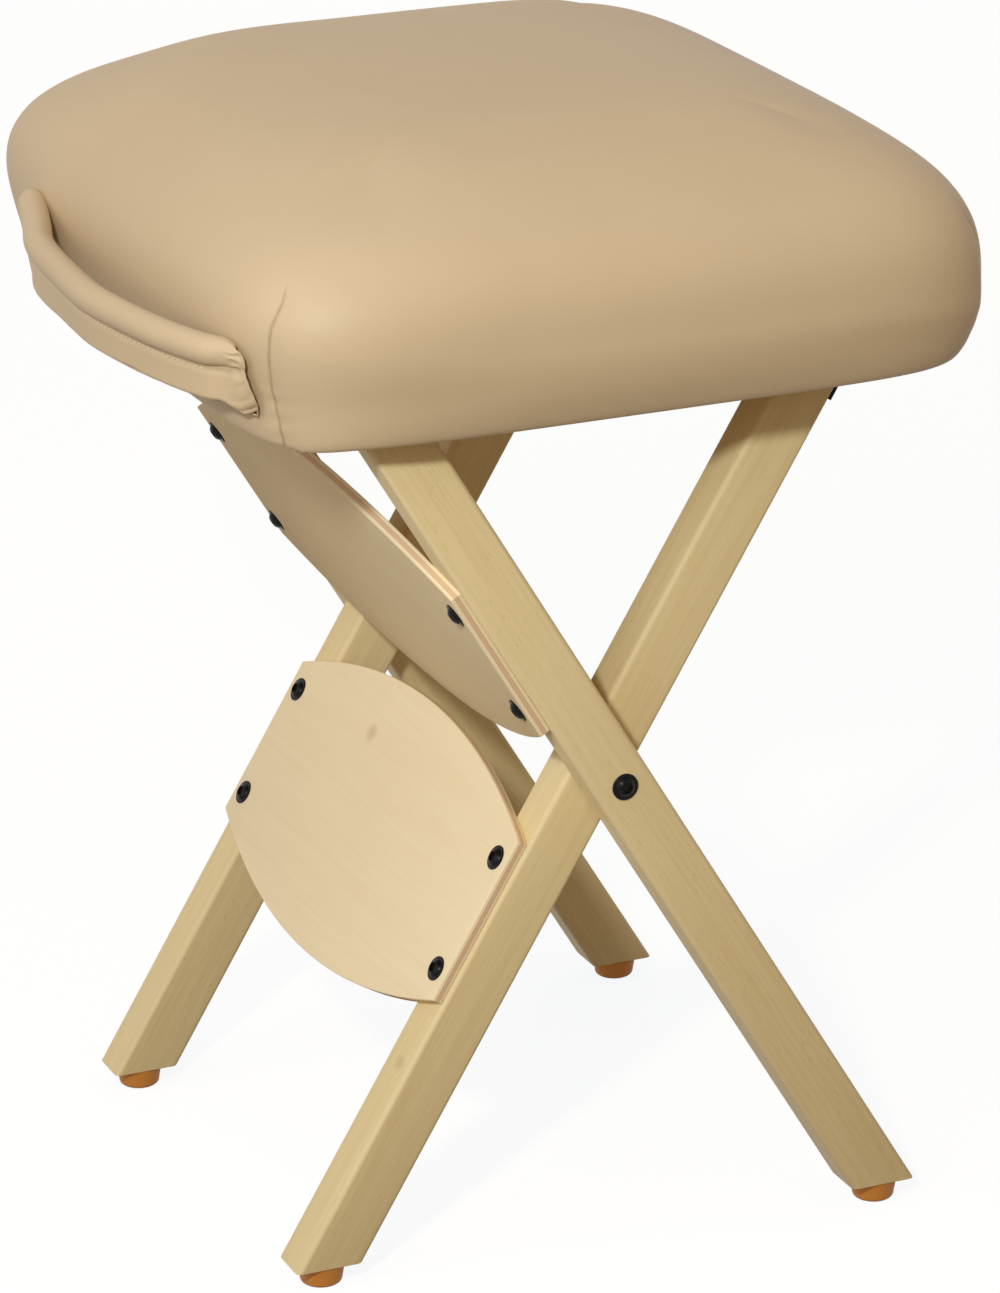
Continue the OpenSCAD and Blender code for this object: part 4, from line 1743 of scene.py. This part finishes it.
    def build(self, vinyl: Material) -> None:
        """Makes the cushion in place of its two simple solids.

        Args:
            vinyl: The cover's finish.
        """
        bm = self._start()
        self._inflate(bm)
        self._open_below(bm)
        bm = self._subdivided(bm, 2)
        self._sew(bm)
        piece = Dress("seat", "vinyl", vinyl, ("seat_cover", "seat_foam"), 60).put(bm, "cushion")


@dataclass(frozen=True)
class Staples:
    """Driven staples that hold the turned-under vinyl to the board, of which only the crowns show."""

    cushion: Cushion
    steps: tuple[float, float] = (36 * MM, 38 * MM)
    length: float = 10 * MM
    wire: float = 0.55 * MM
    wobble: float = 0.25
    bite: float = 0.8 * MM
    line_share: float = 0.55

    def spots(self) -> list[tuple[float, float, float]]:
        """Where the staples lie: along X and Y from the seat's middle, and how far they are turned.

        Returns:
            A spot for each staple.
        """
        inset = self.cushion.draw + self.line_share * self.cushion.wrap_w
        x, y = self.cushion.half_x - inset, self.cushion.half_y - inset
        (along, across), row = self.steps, range(-3, 4)
        spots = [(k * along, side * y, 0.0) for side in (-1, 1) for k in row]
        return spots + [(side * x, k * across, math.pi / 2) for side in (-1, 1) for k in row]

    def point(self, around: float, along: float) -> Vector:
        """A point of one staple, from its own middle.

        Args:
            around: Share of the way round the wire.
            along: Share of the way along it.

        Returns:
            The point.
        """
        angle, along = 2 * math.pi * around, along - 0.5
        high = self.wire * 0.5 * math.sin(angle) + self.bite * ease(abs(along), 0.36, 0.5)
        return Vector((along * self.length, self.wire * 0.9 * math.cos(angle), high))

    def build(self, steel: Material) -> None:
        """Makes the staples.

        Args:
            steel: Their metal.
        """
        shapes = []
        for i, (x, y, turned) in enumerate(self.spots()):
            turn = Matrix.Rotation(turned + self.wobble * math.sin(i * 2.3), 4, "Z")
            place = Matrix.Translation((LAYOUT.centre_x + x, y, self.cushion.wrap_z)) @ turn
            shapes.append(moved(wrap(8, 10, self.point), place))
        Dress("seat", "steel", steel).put(joined(shapes), "cover_staples")


@dataclass(frozen=True)
class CarryHandle:
    """Loop handle: vinyl rolled round a soft cord, with a flat band sewn shut below it."""

    path: tuple[Sequence[float], ...] = (
        (-167.5, 90, 454), (-170, 81, 452), (-175.5, 60, 448), (-182, 35, 445), (-186.5, -11, 445),
        (-188, -46, 445), (-184.5, -79, 445), (-178.5, -111, 445), (-172, -132, 445), (-166.5, -142, 445),
        (-161.5, -149, 444),
    )
    tube_r: float = 6.5 * MM
    band_t: float = 3.4 * MM
    band_low: float = 21.3 * MM
    seam_low: float = 8.2 * MM
    pinch: float = 0.5 * MM
    pinch_w: float = 1.3 * MM
    sewn: float = 15 * MM
    far_sewn: float = 9 * MM
    slant: float = 0.16
    droop: float = 4.9 * MM
    lobe: float = 4.2 * MM
    lobe_h: float = 1.3 * MM
    corner_cut: float = 3.4 * MM
    folds: tuple[tuple[float, float], ...] = ((-9.5, 0.3), (-13.4, 0.6), (-16.6, 1.0), (-19.0, 1.0))
    fold_slope: float = 0.54
    fold_deep: float = 1.1 * MM
    fold_w: float = 0.8 * MM
    # Width of the painted shade along each crease.
    crease_w: float = 0.45 * MM
    fold_run: tuple[float, float] = (10 * MM, 4 * MM)
    fold_rows: tuple[float, float] = (-5 * MM, -11 * MM)
    bunched: tuple[float, float] = (0.35, 1.6)
    bunch_run: tuple[float, float] = (9 * MM, 5 * MM)
    plump: float = 0.7 * MM
    splay: float = 0.12
    splay_shares: tuple[float, float] = (0.45, 0.15)
    droop_run: tuple[float, float] = (12 * MM, 5 * MM)
    droop_from: float = 7 * MM
    cut_run: float = 8 * MM
    cut_from: float = 15 * MM
    squash: float = 0.2
    end_round: float = 9 * MM
    waver: float = 0.35 * MM
    waves: tuple[float, float] = (45, 3)
    outward_run: tuple[float, float] = (-1 * MM, 1 * MM)
    sunk: float = 0.6 * MM
    edge_tuck: tuple[float, float] = (1.1 * MM, 3 * MM)
    skin_t: float = 0.9 * MM
    skin_run: float = 2 * MM
    layers: float = 0.25
    layers_run: float = 7 * MM
    curve_steps: int = 32
    stitch: float = 3.7 * MM
    stitch_share: float = 0.74
    stitch_out: float = 0.12 * MM
    bare: int = 5
    thread_r: float = 0.34 * MM
    around: int = 140
    along: int = 440

    def line(self) -> list[Vector]:
        """The middle of the rolled edge as a smooth line.

        Returns:
            Its points.
        """
        knots = [Vector(p) * MM for p in self.path]
        knots = [2 * knots[0] - knots[1], *knots, 2 * knots[-1] - knots[-2]]
        line: list[Vector] = []
        for a, b, c, d in zip(knots, knots[1:], knots[2:], knots[3:]):
            handles = b + (c - a) / 6, c - (d - b) / 6
            line += geometry.interpolate_bezier(b, *handles, c, self.curve_steps)[:-1]
        return line + [knots[-2]]

    def frames(self, count: int) -> list[tuple[Vector, Vector, Vector, float]]:
        """Evenly spaced places along the handle.

        Args:
            count: Number of steps between the ends.

        Returns:
            The point, the direction along, the level direction away from the seat and the length so far.
        """
        line = self.line()
        runs = list(accumulate(((b - a).length for a, b in zip(line, line[1:])), initial=0.0))
        places = [runs[-1] * i / count for i in range(count + 1)]
        frames = []
        for run, (low, share) in zip(places, stations(runs, places)):
            ahead = (line[min(low + 2, len(line) - 1)] - line[max(low - 1, 0)]).normalized()
            out = ahead.cross(UP).normalized()
            frames.append((line[low].lerp(line[low + 1], share), ahead, out, run))
        return frames

    def section(self, share: float, tube_r: float) -> tuple[float, float]:
        """A point round the handle's section: how far out and how far up from the rolled edge's middle.

        Args:
            share: Share of the way round the section.
            tube_r: Radius of the rolled edge.

        Returns:
            How far out and how far up.
        """
        half = self.band_t / 2
        swing = math.asin(half / tube_r)
        side = self.band_low - half - tube_r * math.cos(swing)
        arc, cap = tube_r * (2 * math.pi - 2 * swing), math.pi * half
        run = share * (2 * side + arc + cap)
        if run < side:
            out, up = half, -self.band_low + half + run
        elif run < side + arc:
            angle = -math.pi / 2 + swing + (run - side) / tube_r
            return tube_r * math.cos(angle), tube_r * math.sin(angle)
        elif run < 2 * side + arc:
            out, up = -half, -tube_r * math.cos(swing) - (run - side - arc)
        else:
            angle = math.pi + (run - 2 * side - arc) / half
            return half * math.cos(angle), -self.band_low + half + half * math.sin(angle)
        pinch = self.pinch * hill(up + self.seam_low, self.pinch_w)
        return out - math.copysign(pinch, out), up

    def surface(self, frames: Sequence[tuple], cushion: Cushion, share: float, along: float) -> Vector:
        """A point of the handle's skin, flattened onto the cushion and gathered at both ends.

        Args:
            frames: Places along the handle.
            cushion: The cushion it lies on.
            share: Share of the way round the section.
            along: Share of the way along the handle.

        Returns:
            The point.
        """
        middle, ahead, away, run = frames[round(along * self.along)]
        whole = frames[-1][3]
        end, turned = min(run, whole - run), 1 if run > whole / 2 else -1
        flat = ease(end, self.sewn if turned > 0 else self.far_sewn, 0.5 * MM)
        out, up = self.section(share, self.tube_r * (1 - self.squash * flat))
        outward = ease(out, *self.outward_run)
        rise = self.gather(up, end, turned)[0] * outward
        round_off = 1 - math.sqrt(max(1 - (1 - min(end / self.end_round, 1)) ** 2, 0))
        out += self.splay * max(-up - self.seam_low, 0) * ease(run / whole, *self.splay_shares)
        out += self.waver * noise.noise(Vector((run * self.waves[0], share * self.waves[1], 0.4)))
        drop, onward = max(up, 0) * 0.6 * round_off, 0.0
        if turned > 0:
            drop += self.droop * ease(end, *self.droop_run) * ease(-up, self.droop_from, self.band_low)
            onward = self.slant * flat * max(-up, 0)
            onward -= self.corner_cut * ease(end, self.cut_run, 0) * ease(-up, self.cut_from, self.band_low)
        point = middle + out * away + (up - drop) * UP + onward * ahead
        tuck, tuck_run = self.edge_tuck
        rest = cushion.handle_face(point.y, point.z) - self.sunk + tuck * ease(end, 0, tuck_run)
        thick = self.skin_t * ease(end, 0, self.skin_run)
        thick += self.layers * (out + self.tube_r) * ease(end, 0, self.layers_run)
        point.x += flat * (rest - outward * thick - point.x)
        return point + rise * away

    def gather(self, up: float, end: float, turned: int) -> tuple[float, float]:
        """How far the gathered vinyl stands out near an end, and how strong the painted shade in its creases
        is.

        Args:
            up: Height above the rolled edge's middle.
            end: Distance from the end.
            turned: 1 at the near end of the handle and -1 at its far end.

        Returns:
            The rise and the strength of the painted crease shade.
        """
        crumple = noise.noise(Vector((up / self.lobe, end / self.lobe, 2.7 * turned)))
        high, deep = self.bunched
        rise = (high - deep * abs(crumple)) * self.lobe_h * ease(end, *self.bunch_run) * ease(end, 0, 2 * MM)
        if turned < 0:
            return rise, 0.0
        along = up + self.fold_slope * end
        near_end = ease(end, *self.fold_run) * ease(along, *self.fold_rows)
        rise += (self.plump - rise) * near_end
        mark = 0.0
        for place, strength in self.folds:
            gap = abs(along - place * MM)
            rise -= near_end * strength * self.fold_deep * math.exp(-gap / self.fold_w)
            # Painted shade along the deeper creases.
            mark = max(mark, near_end * (2 * strength - 1) * hill(gap, self.crease_w))
        return rise, mark

    def crease(self, whole: float, share: float, along: float) -> float:
        """How strong the painted shade of a crease is at a point of the handle's skin.

        Args:
            whole: The handle's length.
            share: Share of the way round the section.
            along: Share of the way along the handle.

        Returns:
            The strength, from 0 to 1.
        """
        out, up = self.section(share, self.tube_r)
        return self.gather(up, (1 - along) * whole, 1)[1] if along > 0.5 and out > 0 else 0.0

    def stitches(self) -> Mesh:
        """Shapes the stitches on both faces of the band, below the rolled edge.

        Returns:
            All stitches as one shape.
        """
        frames = self.frames(round(self.frames(1)[-1][3] / self.stitch))
        shapes = []
        for middle, ahead, away, _ in frames[self.bare:-self.bare]:
            for face in (-1, 1):
                out = face * (self.band_t / 2 - self.pinch + self.stitch_out)
                spot = middle + out * away - self.seam_low * UP
                place = Matrix.Translation(spot) @ ahead.to_track_quat("X", "Z").to_matrix().to_4x4()
                shapes.append(moved(wrap(8, 6, self._thread), place))
        return joined(shapes)

    def _thread(self, around: float, along: float) -> Vector:
        """A point of one stitch, from its own middle.

        Args:
            around: Share of the way round the thread.
            along: Share of the way along it.

        Returns:
            The point.
        """
        angle = 2 * math.pi * around
        fat = self.thread_r * math.sqrt(max(math.sin(math.pi * along), 0))
        ahead = (along - 0.5) * self.stitch_share * self.stitch
        return Vector((ahead, fat * math.cos(angle), fat * math.sin(angle)))

    def build(self, cushion: Cushion, vinyl: Material, thread: Material) -> None:
        """Makes the handle in place of its two simple solids, and its stitching.

        Args:
            cushion: The cushion it is sewn to.
            vinyl: Its finish.
            thread: The thread's finish.
        """
        frames = self.frames(self.along)
        # The second function gives the painted shade in the creases, kept in the seam attribute.
        skin, mark = partial(self.surface, frames, cushion), partial(self.crease, frames[-1][3])
        bm = wrap(self.around, self.along, skin, mark)
        piece = Dress("seat", "vinyl", vinyl, ("carry_handle", "handle_core"), 60).put(bm, "padded_handle")
        Dress("seat", "vinyl", thread).put(self.stitches(), "handle_stitching")


@dataclass(frozen=True)
class SeatBase:
    """Plywood board under the cushion and the rail that stops the outer legs."""

    end_slant: float = 13.5 * MM
    rounding: float = 1.8 * MM

    def cleat(self) -> Mesh:
        """Shapes the rail, with its lower edges broken and its ends cut back below.

        Returns:
            The rail.
        """
        bm = box((LAYOUT.cleat_w, LAYOUT.cleat_len, LAYOUT.cleat_h))
        for vert in bm.verts:
            if vert.co.z < 0:
                vert.co.y -= math.copysign(self.end_slant, vert.co.y)
        low = [e for e in bm.edges if all(v.co.z < 0 for v in e.verts)]
        soften(bm, low, self.rounding, 3)
        bmesh.ops.translate(bm, vec=self.middle(), verts=bm.verts[:])
        return bm

    def middle(self) -> Vector:
        """Middle of the rail."""
        return Vector((LAYOUT.cleat_x, 0, LAYOUT.board_z - LAYOUT.cleat_h / 2))

    def build(self, ply: SheetPly, wood: LegWood) -> None:
        """Dresses the board, and makes the rail in place of its simple solid.

        Args:
            ply: The board's finish.
            wood: The rail's finish.
        """
        sheet = ply.material(
            "seat board ply", Matrix.Identity(4), axis=2, low=LAYOUT.board_z, thick=LAYOUT.board_t,
            plies=7, seed=4.4,
        )
        paint(sheet, "seat_board")
        local = Matrix.Translation(self.middle()) @ Matrix.Rotation(-math.pi / 2, 4, "X")
        half = LAYOUT.cleat_w / 2, LAYOUT.cleat_h / 2
        material = wood.material("cleat wood", local, half, seed=5.3, cuts=(-1, 9))
        Dress("seat", "leg_wood", material, ("stop_cleat",)).put(self.cleat(), "stop_rail")


def main() -> None:
    """Builds the stool's looks in order."""
    Studio().build()
    wood, ply, vinyl = LegWood(), SheetPly(), SeatVinyl()
    LegPair(Pair.OUTER).build(wood)
    LegPair(Pair.INNER).build(wood, [(Vector((-81, -118, 99.4)) * MM, 5 * MM, 0.5)])
    upper = CrossPanel(Pair.OUTER, "upper_panel", 1)
    lower = CrossPanel(Pair.INNER, "lower_panel", -1)
    upper.build(ply, 2.3)
    lower.build(ply, 7.9, [(Vector((-29.6, 34, 194.6)) * MM, 6 * MM, 0.45)])
    Hardware().build((upper, lower))
    rubber = FootRubber().material("foot rubber")
    paint(rubber, *(f"{pair.word}_foot_{side.word}" for pair in Pair for side in Side))
    SeatBase().build(ply, wood)
    cushion = Cushion()
    cushion.build(vinyl.material("cushion vinyl"))
    Staples(cushion).build(STEEL.material("staple steel"))
    CarryHandle().build(cushion, vinyl.material("handle vinyl"), Thread().material("thread"))


if __name__ == "__main__":
    main()
